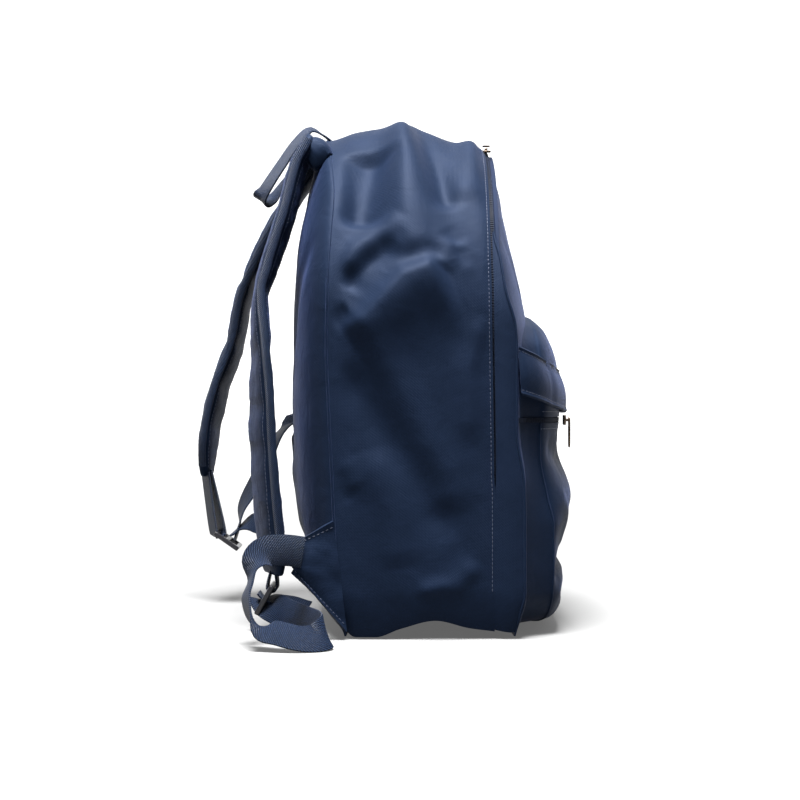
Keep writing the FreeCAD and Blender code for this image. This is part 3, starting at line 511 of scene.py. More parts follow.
def webbing_material(groups):
    """Ribbed polyester webbing with uneven fibres, and painted shade in the troughs of its ribs.
    """
    material, tree, shader = principled("webbing", Roughness=0.5)
    shader.inputs["Sheen Weight"].default_value = 0.02
    shader.inputs["Sheen Tint"].default_value = (0.3, 0.45, 1.0, 1)
    shader.inputs["Specular IOR Level"].default_value = 0.12
    rib = add(tree, "ShaderNodeGroup", (-900, 0), node_tree=groups["rib"])
    rib.inputs["Pitch"].default_value = look().rib_pitch
    where = add(tree, "ShaderNodeTexCoord", (-1100, 300))
    fibre = noise_texture(tree, where.outputs["Object"], 420, place=(-900, 300))
    # Colour: painted rib shade times the random unevenness of the fibres.
    colour_between(tree, shader, RIB_SHADE_AND_DARK_FIBRE_NAVY, (0.0085, 0.0190, 0.0480),
                   maths(tree, "MULTIPLY", rib.outputs["Light"], fibre, clamp=True))
    bump_into(tree, shader, rib.outputs["Height"], 0.00035)
    return material


def thread_material():
    """Sewing thread, with the light and dark of its plies."""
    material, tree, shader = principled("thread", Roughness=0.45)
    where = add(tree, "ShaderNodeTexCoord", (-1100, 300))
    ply = noise_texture(tree, where.outputs["Object"], 1500, place=(-900, 300))
    colour_between(tree, shader, (0.007, 0.011, 0.025), (0.016, 0.024, 0.054), ply)
    return material


def plastic_material(name, colour, roughness, gloss=0.35):
    """Moulded nylon: glossy, with a faint orange-peel and rubbed patches."""
    material, tree, shader = principled(name, **{"Base Color": (*colour, 1)})
    shader.inputs["Specular IOR Level"].default_value = gloss
    where = add(tree, "ShaderNodeTexCoord", (-1100, 0))
    peel = noise_texture(tree, where.outputs["Object"], 260)
    rub = noise_texture(tree, where.outputs["Object"], 60, 6, (-900, -300))
    rough = maths(tree, "MULTIPLY_ADD", rub, 0.25, roughness - 0.12)
    tree.links.new(rough, shader.inputs["Roughness"])
    bump_into(tree, shader, peel, 0.00008)
    return material


def metal_material():
    """Antique brass: dark in the hollows, brighter where it is rubbed."""
    material, tree, shader = principled("antique_metal", Metallic=1.0)
    where = add(tree, "ShaderNodeTexCoord", (-1100, 0))
    tarnish = noise_texture(tree, where.outputs["Object"], 180, 6)
    colour_between(tree, shader, (0.035, 0.026, 0.020), (0.15, 0.11, 0.08), tarnish)
    rough = maths(tree, "MULTIPLY_ADD", tarnish, 0.4, 0.18)
    tree.links.new(rough, shader.inputs["Roughness"])
    bump_into(tree, shader, tarnish, 0.0001)
    return material


def foam_material():
    """Open-celled foam, seen only where the covers are cut away, with painted shade in the pits of
    its cells.
    """
    material, tree, shader = principled("foam", Roughness=0.95)
    where = add(tree, "ShaderNodeTexCoord", (-1100, 0))
    cells = add(tree, "ShaderNodeTexVoronoi", (-900, 0))
    cells.inputs["Scale"].default_value = 900
    tree.links.new(where.outputs["Object"], cells.inputs["Vector"])
    # Painted shade: the cell pits, low in the bump, are darker in colour.
    colour_between(tree, shader, (0.42, 0.41, 0.38), (0.70, 0.69, 0.64),
                   cells.outputs["Distance"])
    bump_into(tree, shader, cells.outputs["Distance"], 0.0004)
    return material


MATERIALS = {}


def make_materials():
    """Fill MATERIALS with the finishes of the backpack."""
    groups = {"weave": weave_group(), "rib": rib_group()}
    MATERIALS["cloth"] = cloth_material("shell_cloth", groups, NAVY, LIT_NAVY)
    MATERIALS["pad"] = cloth_material("pad_cloth", groups, NAVY, LIT_NAVY,
                                      sheen=0.05, crumple=0.0009)
    MATERIALS["lining"] = cloth_material(
        "lining", groups, (0.010, 0.012, 0.020), (0.020, 0.023, 0.036), 0.45, 0.05, 0.0004)
    MATERIALS["tape"] = cloth_material(
        "zip_tape", groups, (0.003, 0.005, 0.012), (0.006, 0.009, 0.020), 0.7, 0.04, 0.0001)
    MATERIALS["webbing"] = webbing_material(groups)
    MATERIALS["thread"] = thread_material()
    MATERIALS["teeth"] = plastic_material("zip_teeth", (0.005, 0.007, 0.013), 0.62, 0.05)
    MATERIALS["plastic"] = plastic_material("black_nylon", (0.009, 0.009, 0.011), 0.30)
    MATERIALS["metal"] = metal_material()
    MATERIALS["foam"] = foam_material()


# --------------------------------------------------------------------- repeated small parts

def instance_tree(name, primitive):
    """Geometry Nodes tree that sets one small shape on every point of a mesh.

    The points carry "along" and "out" directions; the tree's inputs are the half sizes of
    the shape and its material.
    """
    tree = bpy.data.node_groups.new(name, "GeometryNodeTree")
    tree.interface.new_socket("Geometry", in_out="OUTPUT", socket_type="NodeSocketGeometry")
    tree.interface.new_socket("Geometry", in_out="INPUT", socket_type="NodeSocketGeometry")
    tree.interface.new_socket("Half Size", in_out="INPUT", socket_type="NodeSocketVector")
    tree.interface.new_socket("Material", in_out="INPUT", socket_type="NodeSocketMaterial")
    given = add(tree, "NodeGroupInput", (-900, 0))
    result = add(tree, "NodeGroupOutput", (900, 0))
    shape = add(tree, primitive, (-600, -300))
    if primitive == "GeometryNodeMeshUVSphere":
        shape.inputs["Segments"].default_value = 6
        shape.inputs["Rings"].default_value = 5
        shape.inputs["Radius"].default_value = 1
    else:
        shape.inputs["Size"].default_value = (2, 2, 2)
    turns = None
    for label, axis in (("along", "X"), ("out", "Z")):
        read = add(tree, "GeometryNodeInputNamedAttribute", (-900, -500), data_type="FLOAT_VECTOR")
        read.inputs["Name"].default_value = label
        turn = add(tree, "FunctionNodeAlignRotationToVector", (-600, -500), axis=axis)
        turn.pivot_axis = "AUTO" if axis == "X" else "X"
        tree.links.new(read.outputs["Attribute"], turn.inputs["Vector"])
        if turns is not None:
            tree.links.new(turns, turn.inputs["Rotation"])
        turns = turn.outputs["Rotation"]
    place = add(tree, "GeometryNodeInstanceOnPoints", (-200, 0))
    real = add(tree, "GeometryNodeRealizeInstances", (200, 0))
    paint = add(tree, "GeometryNodeSetMaterial", (500, 0))
    tree.links.new(given.outputs["Geometry"], place.inputs["Points"])
    tree.links.new(shape.outputs["Mesh"], place.inputs["Instance"])
    tree.links.new(turns, place.inputs["Rotation"])
    tree.links.new(given.outputs["Half Size"], place.inputs["Scale"])
    tree.links.new(place.outputs["Instances"], real.inputs["Geometry"])
    tree.links.new(real.outputs["Geometry"], paint.inputs["Geometry"])
    tree.links.new(given.outputs["Material"], paint.inputs["Material"])
    tree.links.new(paint.outputs["Geometry"], result.inputs["Geometry"])
    return tree


TREES = {}


def scatter(name, tree_name, primitive, points, along, out, half_size, material):
    """Small shapes on points, as one plain mesh."""
    if tree_name not in TREES:
        TREES[tree_name] = instance_tree(tree_name, primitive)
    tree = TREES[tree_name]
    obj = mesh_object(name + "_points", points, [])
    for label, vectors in (("along", along), ("out", out)):
        attribute = obj.data.attributes.new(label, "FLOAT_VECTOR", "POINT")
        attribute.data.foreach_set("vector", np.asarray(vectors, float).ravel())
    modifier = obj.modifiers.new("scatter", "NODES")
    modifier.node_group = tree
    sockets = {
        item.name: item.identifier for item in tree.interface.items_tree
        if item.item_type == "SOCKET" and item.in_out == "INPUT"}
    modifier[sockets["Half Size"]] = half_size
    modifier[sockets["Material"]] = material
    depsgraph = bpy.context.evaluated_depsgraph_get()
    mesh = bpy.data.meshes.new_from_object(obj.evaluated_get(depsgraph))
    mesh.name = name
    bpy.data.objects.remove(obj)
    result = bpy.data.objects.new(name, mesh)
    bpy.context.scene.collection.objects.link(result)
    if primitive == "GeometryNodeMeshUVSphere":
        mesh.shade_smooth()
    return result


def resample(points, out, pitch):
    """Points at an even pitch along a polyline, with their tangents and outward directions."""
    points = np.asarray(points, float)
    lengths = np.r_[0, np.cumsum(np.linalg.norm(np.diff(points, axis=0), axis=1))]
    count = max(2, int(lengths[-1] / pitch))
    where = np.linspace(0, lengths[-1], count)
    placed = np.stack([np.interp(where, lengths, points[:, axis]) for axis in range(3)], axis=1)
    turned = np.stack([np.interp(where, lengths, out[:, axis]) for axis in range(3)], axis=1)
    return placed, unit(np.gradient(placed, axis=0)), unit(turned)


def stitches(name, lines):
    """Stitches along several lines, each a pair of points and outward directions."""
    rows = [resample(points, out, look().stitch_length) for points, out in lines]
    placed, along, out = (np.concatenate([row[part] for row in rows]) for part in range(3))
    half = (look().stitch_length * 0.38, 0.00034, 0.00026)
    return scatter(name, "stitches", "GeometryNodeMeshUVSphere", placed + out * 0.00008,
                   along, out, half, MATERIALS["thread"])


def teeth(name, points, out, across):
    """One row of zip teeth whose middles lie on the points."""
    placed, along, turned = resample(points, out, look().tooth_pitch)
    half = (0.00062, across / 2, 0.0011)
    return scatter(name, "zip_teeth", "GeometryNodeMeshCube", placed, along, turned, half,
                   MATERIALS["teeth"])


# -------------------------------------------------------------------------- shape of the bag

def arch_place(run):
    """Unit outward direction (x, z) and base point (x, z) at a signed run from the crown."""
    run = np.asarray(run, float)
    side = np.sign(run)
    height = ARCH_LENGTH - np.abs(run)
    angle = np.clip((height - ARCH_SPRING) / ARCH_RADIUS, 0, math.pi / 2)
    out_x = side * np.cos(angle)
    out_z = np.sin(angle)
    x = side * ARCH_RADIUS * np.cos(angle)
    z = np.where(height < ARCH_SPRING, height, ARCH_SPRING + ARCH_RADIUS * np.sin(angle))
    return x, z, out_x, out_z, height


def run_height(z):
    """Length along the arch from the ground up to a level."""
    z = np.asarray(z, float)
    angle = np.arcsin(np.clip((z - ARCH_SPRING) / ARCH_RADIUS, 0, 1))
    return np.where(z < ARCH_SPRING, z, ARCH_SPRING + ARCH_RADIUS * angle)


BACK_SEAM = smooth_curve((
    (0.000, 0.066), (0.017, 0.0695), (0.037, 0.071), (0.087, 0.0742), (0.119, 0.0757),
    (0.187, 0.0789), (0.226, 0.0804), (0.280, 0.0796), (0.320, 0.0778), (0.350, 0.0762),
    (0.375, 0.0788), (0.400, 0.0840), (0.412, 0.0890)))
FRONT_SEAM = smooth_curve((
    (0.000, -0.068), (0.016, -0.072), (0.030, -0.0755), (0.077, -0.0755), (0.120, -0.0748),
    (0.164, -0.0690), (0.229, -0.0690), (0.245, -0.0680), (0.275, -0.0602), (0.300, -0.0565),
    (0.322, -0.0520), (0.412, -0.0509)))
ZIP_LINE = smooth_curve((
    (0.000, -0.0520), (0.120, -0.0520), (0.250, -0.0505), (0.330, -0.0500), (0.412, -0.0500)))
CROWN_RISE = smooth_curve((
    (-0.054, -0.0036), (-0.047, 0.0002), (-0.038, 0.0055), (-0.026, 0.0035), (0.000, 0.0112),
    (0.020, 0.0182), (0.040, 0.0148), (0.060, 0.0132), (0.078, 0.0085), (0.090, 0.0065)))
HEM = smooth_curve((
    (-0.076, 0.0100), (-0.067, 0.0030), (-0.050, 0.0055), (-0.032, 0.0080), (-0.005, 0.0140),
    (0.022, 0.0078), (0.042, 0.0010), (0.058, 0.0010), (0.066, 0.0060), (0.078, 0.0100)))

# Folds of the side, as (y, level) points, rise, and the widths on each side of the line.
SIDE_FOLDS = (
    (((0.020, 0.404), (0.0185, 0.386), (0.0162, 0.348), (0.013, 0.318), (0.0085, 0.296)),
     0.0085, 0.016, 0.022),
    (((0.046, 0.384), (0.0475, 0.372), (0.052, 0.346), (0.0565, 0.322)),
     -0.0135, 0.019, 0.017),
    (((0.0218, 0.330), (0.0384, 0.3156), (0.0557, 0.3057), (0.0657, 0.2856)),
     0.0045, 0.010, 0.012),
    (((0.0265, 0.3115), (0.0422, 0.2992), (0.0579, 0.2857), (0.0640, 0.272)),
     -0.0048, 0.009, 0.009),
    (((-0.0110, 0.2935), (0.003, 0.287), (0.0187, 0.2817), (0.032, 0.269), (0.0477, 0.2519),
      (0.0660, 0.2400)), 0.0125, 0.0110, 0.030),
    (((-0.0088, 0.291), (-0.0142, 0.299), (-0.018, 0.313)), 0.0030, 0.009, 0.008),
    (((0.0125, 0.404), (-0.002, 0.3803), (-0.0104, 0.3569), (-0.0156, 0.3347)),
     -0.0075, 0.011, 0.010),
    (((-0.036, 0.402), (-0.033, 0.376), (-0.030, 0.3436)), 0.004, 0.012, 0.012),
    (((-0.0150, 0.3215), (-0.0246, 0.309)), -0.0012, 0.008, 0.008),
    (((-0.0240, 0.303), (-0.0355, 0.3088)), 0.0010, 0.007, 0.008),
    (((-0.0230, 0.2966), (-0.034, 0.3015)), -0.0009, 0.007, 0.007),
    (((-0.0246, 0.289), (-0.0356, 0.2924)), 0.0008, 0.007, 0.007),
    (((0.0656, 0.2189), (0.0382, 0.172), (0.007, 0.125), (-0.0204, 0.0742)),
     -0.0045, 0.014, 0.018),
    (((0.0445, 0.2345), (0.0187, 0.1876), (-0.0087, 0.1329), (-0.018, 0.096)),
     0.0036, 0.018, 0.015),
    (((0.0440, 0.150), (0.0300, 0.100), (0.0220, 0.055)), 0.0028, 0.016, 0.014),
    (((0.0750, 0.2486), (0.0617, 0.2564)), -0.0022, 0.007, 0.008),
    (((0.0760, 0.2635), (0.063, 0.2658)), 0.0018, 0.007, 0.007),
    (((0.0760, 0.1286), (0.0656, 0.1055)), -0.0018, 0.008, 0.008),
    (((0.0680, 0.1400), (0.0560, 0.1180)), 0.0015, 0.009, 0.009),
    (((-0.0430, 0.2550), (-0.0300, 0.2100), (-0.0330, 0.1500)), 0.0022, 0.010, 0.008),
    (((-0.0400, 0.0600), (-0.0200, 0.0380), (0.0100, 0.0300)), 0.0024, 0.010, 0.008),
)


def lift_folds(folds, scale=1.0, shift=0.0):
    """The same folds with their levels turned into lengths along the arch."""
    return [
        ([(y, float(run_height(level + shift))) for y, level in points], rise * scale, *widths)
        for points, rise, *widths in folds]


def hem_tuck(height):
    """How far the cloth turns in where it meets the base."""
    return 0.007 * np.clip(1 - height / 0.040, 0, 1) ** 2


def zip_valley(y, height):
    """Depth of the shallow valley that the main zip lies in on the shoulders of the arch."""
    shoulders = smooth_step(0.24, 0.30, height) * smooth_step(0.485, 0.42, height)
    spread = np.where(y < -0.0505, 0.009, 0.005)
    return 0.0020 * np.exp(-((y + 0.0505) / spread) ** 2) * shoulders


def side_surface(run, y):
    """Point on the side and top of the bag at a run from the crown and a station y."""
    x, z, out_x, out_z, height = arch_place(run)
    left = lift_folds(SIDE_FOLDS)
    right = lift_folds(SIDE_FOLDS, 0.75, -0.014)
    swell = 0.004 * np.sin(np.pi * np.clip((y + 0.052) / 0.130, 0, 1))
    rise = CROWN_RISE(y) * smooth_step(0.30, 0.485, height)
    folds = np.where(
        run < 0, folds_at(y, height, left), folds_at(y * 0.94 + 0.004, height, right))
    crown_fade = smooth_step(0.004, 0.05, np.abs(run))
    seams = smooth_step(-0.0535, -0.038, y) * smooth_step(0.0, 0.018, BACK_SEAM(z) - y)
    waves = ripple(height * np.sign(run), y, 0.035, 0.0007, 3.1)
    out = swell + rise - zip_valley(y, height) + (folds * crown_fade + waves) * seams
    out = out - hem_tuck(height)
    hem = HEM(y) * np.clip(1 - height / 0.060, 0, 1)
    return np.stack([x + out_x * out, y, z + out_z * out + hem], axis=-1)


def zip_gap(z):
    """Distance of each lip of cloth from the middle of the main zip; closed below it."""
    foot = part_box("main_zip_rear")[0][2]
    return 0.0008 * smooth_step(foot - 0.010, foot + 0.004, z)


def side_grid():
    """Points of the long cloth that makes both sides and the top, from base to base."""
    runs = np.concatenate([
        np.linspace(-ARCH_LENGTH, 0, 190), np.linspace(0, ARCH_LENGTH, 190)[1:]])
    parts = np.linspace(0, 1, 58)
    _, z, _, _, _ = arch_place(runs)
    front = ZIP_LINE(z) + zip_gap(z)
    rear = BACK_SEAM(z)
    y = front[:, None] + (rear - front)[:, None] * parts[None, :]
    return side_surface(runs[:, None] + 0 * y, y)


def edge_line(grid, column, centre):
    """Points and normals along one column of a grid."""
    normals = grid_normals(grid, centre)
    return grid[:, column], normals[:, column]


CENTRE = (0.0, 0.010, 0.215)


def build_side():
    """Cloth of the sides and the top, with the stitches beside the zip."""
    grid = side_grid()
    cloth = cloth_panel("side_gusset", grid, CENTRE, [MATERIALS["cloth"], MATERIALS["lining"]])
    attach(cloth, BAG)
    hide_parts("rear_gusset")
    declare_sheet(grid)
    points, normals = edge_line(grid, 1, CENTRE)
    thread = stitches("side_stitching", [(points[14:-14], normals[14:-14])])
    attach(thread, BAG)


def declare_sheet(grid):
    """Work out the flat length, width and area that a cloth panel is cut to; the values are not
    kept.
    """
    long = float(np.max(row_lengths(grid, 0)[-1]))
    wide = float(np.max(row_lengths(grid, 1)[:, -1]))
    cell_u = np.diff(grid, axis=0)[:, :-1]
    cell_v = np.diff(grid, axis=1)[:-1]
    area = float(np.sum(np.linalg.norm(np.cross(cell_u, cell_v), axis=2)))
    area = min(area, wide * long)


# ------------------------------------------------------------------------- back of the bag

BACK_CENTRE_LINE = smooth_curve((
    (0.002, 0.064), (0.012, 0.082), (0.030, 0.097), (0.068, 0.1066), (0.117, 0.1125),
    (0.187, 0.1145), (0.260, 0.1135), (0.319, 0.1095), (0.355, 0.1030), (0.383, 0.0965),
    (0.400, 0.0925), (0.412, 0.0890)))


def boundary_half_width(z, rise_y):
    """Half the width of the bag's outline at a level, at the stations rise_y."""
    z = np.asarray(z, float)
    crown = ARCH_SPRING + ARCH_RADIUS + CROWN_RISE(rise_y)
    level = np.clip((z - ARCH_SPRING) / (crown - ARCH_SPRING), 0, 1)
    return ARCH_RADIUS * np.sqrt(1 - level ** 2) - hem_tuck(z)


def dish(levels, half_width, edge, middle, fullness, count=81, folds=None):
    """Rows at each level across the bag, from edge stations to middle stations."""
    spread = np.sin(np.linspace(-math.pi / 2, math.pi / 2, count))
    x = half_width[:, None] * spread[None, :]
    across = (1 - np.abs(spread) ** fullness[0]) ** fullness[1]
    y = edge[:, None] + (middle - edge)[:, None] * across[None, :]
    z = levels[:, None] + 0 * x
    if folds is not None:
        y = y + folds(x, z) * np.clip(across, 0, 1)[None, :]
    return np.stack([x, y, z], axis=-1)


def arch_levels(low, crown, count):
    """Levels that are dense towards the top of the arch, where it turns over."""
    turn = np.linspace(0, math.pi / 2, count // 2)
    upright = np.linspace(low, ARCH_SPRING, count - count // 2)[:-1]
    return np.concatenate([upright, ARCH_SPRING + (crown - ARCH_SPRING) * np.sin(turn)])


BACK_FOLDS = (
    (((-0.130, 0.320), (-0.085, 0.270), (-0.060, 0.200)), -0.0035, 0.010, 0.012),
    (((0.128, 0.300), (0.090, 0.250), (0.070, 0.190)), -0.0032, 0.012, 0.010),
    (((-0.100, 0.080), (-0.020, 0.065), (0.070, 0.085)), -0.0040, 0.010, 0.014),
    (((-0.070, 0.130), (0.000, 0.120), (0.080, 0.140)), 0.0022, 0.014, 0.012),
    (((-0.060, 0.345), (0.000, 0.330), (0.060, 0.348)), -0.0028, 0.010, 0.012),
)


def back_grid(depth=0.0):
    """Surface of the padded back, depth under its outside."""
    levels = arch_levels(0.0015, 0.4115, 120)
    edge = BACK_SEAM(levels)
    half = boundary_half_width(levels, edge)
    middle = BACK_CENTRE_LINE(levels)

    def folds(x, z):
        """Offset of the folds and the ripple at a point."""
        return folds_at(x, z, BACK_FOLDS) + ripple(x, z, 0.045, 0.0008, 11.7)

    grid = dish(levels, half, edge, middle, (2.6, 0.62), 97, folds)
    if depth:
        grid = grid - grid_normals(grid, CENTRE) * depth
    return grid


def build_back():
    """Padded back: its cover, and the foam and the lining behind it."""
    outer = back_grid()
    cover = cloth_panel("back_panel", outer, CENTRE, [MATERIALS["pad"], MATERIALS["pad"]])
    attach(cover, BAG)
    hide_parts("back_cover")
    foam_grid = back_grid(0.0020)[3:-3, 5:-5]
    foam = cloth_panel("back_foam_sheet", foam_grid, CENTRE, [MATERIALS["foam"]] * 2, 0.0045)
    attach(foam, BAG)
    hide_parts("back_foam")
    lining_grid = back_grid(0.0072)[2:-2, 3:-3]
    lining = cloth_panel(
        "back_lining_sheet", lining_grid, CENTRE, [MATERIALS["lining"]] * 2, 0.0006)
    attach(lining, BAG)
    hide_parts("back_lining")
    declare_sheet(lining_grid)


# ------------------------------------------------------------------------ front of the bag

FRONT_CENTRE_LINE = smooth_curve((
    (0.002, -0.066), (0.012, -0.078), (0.040, -0.084), (0.150, -0.086), (0.235, -0.0855),
    (0.265, -0.0830), (0.290, -0.0780), (0.319, -0.0710), (0.355, -0.0625), (0.385, -0.0565),
    (0.4035, -0.0530)))
FRONT_FOLDS = (
    (((-0.120, 0.318), (-0.080, 0.290), (-0.050, 0.272)), -0.0030, 0.009, 0.012),
    (((0.118, 0.322), (0.075, 0.292), (0.045, 0.270)), -0.0030, 0.012, 0.009),
    (((-0.075, 0.372), (-0.020, 0.350), (0.050, 0.356)), 0.0012, 0.012, 0.008),
    (((-0.040, 0.330), (0.020, 0.312), (0.085, 0.326)), -0.0026, 0.010, 0.010),
)


def front_grid():
    """Points of the front panel, from the base to the crown."""
    levels = arch_levels(0.0015, 0.4030, 130)
    edge = FRONT_SEAM(levels)
    half = boundary_half_width(levels, np.minimum(edge, -0.047))
    half = half - zip_valley(edge, run_height(levels)) * ARCH_RADIUS / np.maximum(half, 0.03)
    middle = FRONT_CENTRE_LINE(levels)

    def folds(x, z):
        """Offset of the folds and the ripple at a point."""
        return -(folds_at(x, z, FRONT_FOLDS) + ripple(x, z, 0.040, 0.0008, 21.3))

    return dish(levels, half, edge, middle, (2.2, 0.75), 97, folds)


def strip_grid(side):
    """Narrow strip between the zip and the front seam on one side."""
    levels = np.linspace(0.0015, 0.322, 110)
    runs = side * (ARCH_LENGTH - run_height(levels))
    start = ZIP_LINE(levels) - zip_gap(levels)
    end = FRONT_SEAM(levels)
    parts = np.linspace(0, 1, 14)
    y = start[:, None] + (end - start)[:, None] * parts[None, :]
    grid = side_surface(runs[:, None] + 0 * y, y)
    sag = 0.0016 * np.sin(np.pi * parts)[None, :] * smooth_step(0.30, 0.24, levels)[:, None]
    grid[:, :, 0] += side * sag
    return grid


def build_front():
    """Front panel and the narrow strips beside it."""
    grid = front_grid()
    panel = cloth_panel("front_panel_cloth", grid, CENTRE,
                        [MATERIALS["cloth"], MATERIALS["lining"]])
    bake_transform(panel)
    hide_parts("front_panel", "mouth_panel")
    declare_sheet(grid)
    for side, name in ((-1, "left"), (1, "right")):
        strip = strip_grid(side)
        cloth = cloth_panel(f"front_strip_{name}", strip, CENTRE,
                            [MATERIALS["cloth"], MATERIALS["lining"]])
        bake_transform(cloth)
        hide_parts(f"front_gusset_{name}")
        declare_sheet(strip)


def build_base():
    """Bottom cloth between the hems of the two sides."""
    stations = np.linspace(-0.068, 0.066, 60)
    spread = np.linspace(-1, 1, 90)
    half = ARCH_RADIUS - 0.007
    y = stations[:, None] + 0 * spread[None, :]
    x = half * spread[None, :] + 0 * y
    hem = HEM(stations)[:, None] * (0.80 + 0.20 * spread[None, :] ** 2)
    z = 0.0006 + hem + 0.0010 * np.abs(spread[None, :]) ** 8
    grid = np.stack([x, y, z], axis=-1)
    cloth = cloth_panel("base_cloth", grid, CENTRE, [MATERIALS["cloth"], MATERIALS["lining"]],
                        0.0018)
    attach(cloth, BAG)
    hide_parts("base_panel")
    declare_sheet(grid)


# ------------------------------------------------------------------------------- main zip

def zip_rows():
    """Runs along the arch covered by the main zip."""
    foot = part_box("main_zip_rear")[0][2]
    reach = ARCH_LENGTH - foot
    return np.linspace(-reach, reach, 300)


def zip_strip(run, offset, sink):
    """Points of the zip at an offset across it, sunk under the cloth's surface."""
    x, z, out_x, out_z, height = arch_place(run)
    y = ZIP_LINE(z) + offset
    rise = CROWN_RISE(y) * smooth_step(0.30, 0.485, height) - zip_valley(y, height)
    return np.stack([x + out_x * (rise - sink), y, z + out_z * (rise - sink)], axis=-1)


def zip_out(run):
    """Outward directions of the zip at runs from the crown."""
    _, _, out_x, out_z, _ = arch_place(run)
    return np.stack([out_x, 0 * out_x, out_z], axis=-1)


def build_main_zip():
    """Tapes and teeth of the main zip: the rear row is hung on the bag, the front row stays where
    it is built.
    """
    runs = zip_rows()
    for name, nodes, sign in (("rear", ("main_zip_rear",), 1),
                              ("front", ("main_zip_front_upper", "main_zip_front_lower"), -1)):
        offsets = np.linspace(0.0004, 0.0062, 5) * sign
        grid = np.stack([zip_strip(runs, offset, 0.0026) for offset in offsets], axis=1)
        tape = cloth_panel(f"zip_tape_{name}", grid, CENTRE, [MATERIALS["tape"]] * 2, 0.0006)
        row = teeth(f"zip_teeth_{name}", zip_strip(runs, sign * 0.00105, 0.0014),
                    zip_out(runs), 0.0026)
        for piece in (tape, row):
            if sign > 0:
                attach(piece, BAG)
            else:
                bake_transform(piece)
        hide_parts(*nodes)


# ----------------------------------------------------------------------------------- seams

def oval_sections(points, hint, half_wide, half_thick, around):
    """Ovals along a path, with their wide axis along the hint."""
    wide, thick = frames_along(points, hint)
    turn = np.linspace(0, 2 * math.pi, around, endpoint=False)[None, :, None]
    return (points[:, None] + half_wide * wide[:, None] * np.cos(turn)
            + half_thick * thick[:, None] * np.sin(turn))


def welt(name, points, radius):
    """Rolled seam edge along a line of points."""
    hint = np.broadcast_to((0.0, 1.0, 0.01), points.shape)
    sections = oval_sections(points, hint, radius, radius, 8)
    return tube_skin(name, sections, [MATERIALS["cloth"]])


def build_seams():
    """Rolled edges of the back seam and of the two front seams."""
    line = welt("seam_welt_back", side_grid()[4:-4, -1], 0.0011)
    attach(line, BAG)
    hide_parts("back_seam_tape")
    for side, name in ((-1, "left"), (1, "right")):
        edge = strip_grid(side)[2:, -1]
        line = welt(f"seam_welt_front_{name}", edge, 0.0012)
        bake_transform(line)


# ----------------------------------------------------------------------------- front pocket

POCKET_CORNER_X = smooth_curve((
    (0.003, 0.0600), (0.007, 0.0880), (0.013, 0.1060), (0.022, 0.1190), (0.034, 0.1260),
    (0.060, 0.1280), (0.175, 0.1280), (0.205, 0.1262), (0.230, 0.1180), (0.246, 0.0960),
    (0.256, 0.0600), (0.2605, 0.0150)))
POCKET_WALL_X = smooth_curve((
    (0.003, 0.0900), (0.007, 0.1120), (0.013, 0.1270), (0.022, 0.1380), (0.034, 0.1450),
    (0.060, 0.1482), (0.175, 0.1478), (0.205, 0.1468), (0.230, 0.1425), (0.246, 0.1200),
    (0.256, 0.0780), (0.2605, 0.0200)))
POCKET_CORNER_Y = smooth_curve((
    (0.003, -0.0880), (0.012, -0.0960), (0.030, -0.0990), (0.052, -0.1000), (0.087, -0.0998),
    (0.111, -0.0945), (0.144, -0.0888), (0.165, -0.0890), (0.185, -0.0910), (0.216, -0.0890),
    (0.244, -0.0865), (0.2605, -0.0843)))
POCKET_MIDDLE_Y = smooth_curve((
    (0.003, -0.0990), (0.008, -0.1080), (0.021, -0.1132), (0.038, -0.1118), (0.055, -0.1085),
    (0.072, -0.1115), (0.091, -0.1190), (0.108, -0.1230), (0.125, -0.1188), (0.144, -0.1130),
    (0.160, -0.1115), (0.173, -0.1132), (0.200, -0.1130), (0.216, -0.1105), (0.244, -0.1015),
    (0.256, -0.0905), (0.2605, -0.0845)))
POCKET_FOLDS = (
    (((-0.127, 0.024), (-0.108, 0.040), (-0.080, 0.048), (-0.050, 0.050)), 0.0038, 0.007, 0.010),
    (((-0.127, 0.044), (-0.098, 0.060), (-0.050, 0.066)), -0.0045, 0.006, 0.006),
    (((0.126, 0.030), (0.095, 0.048), (0.040, 0.054)), 0.0045, 0.010, 0.008),
    (((0.110, 0.070), (0.060, 0.062), (0.030, 0.066)), -0.0035, 0.007, 0.007),
    (((-0.124, 0.152), (-0.090, 0.138), (-0.040, 0.144)), -0.0040, 0.010, 0.012),
    (((0.122, 0.150), (0.080, 0.134), (0.040, 0.142)), -0.0035, 0.010, 0.012),
    (((-0.118, 0.116), (-0.095, 0.092), (-0.085, 0.066)), 0.0024, 0.009, 0.012),
    (((0.105, 0.118), (0.080, 0.092), (0.078, 0.070)), 0.0036, 0.012, 0.009),
)
POCKET_CENTRE = (0.0, -0.060, 0.130)
POCKET_ZIP = (0.1685, 0.1745)


def front_station(x, z):
    """Station of the outside of the front panel."""
    edge = FRONT_SEAM(z)
    half = boundary_half_width(z, np.minimum(edge, -0.047))
    part = np.clip(np.abs(x) / half, 0, 1)
    return edge + (FRONT_CENTRE_LINE(z) - edge) * (1 - part ** 2.2) ** 0.75


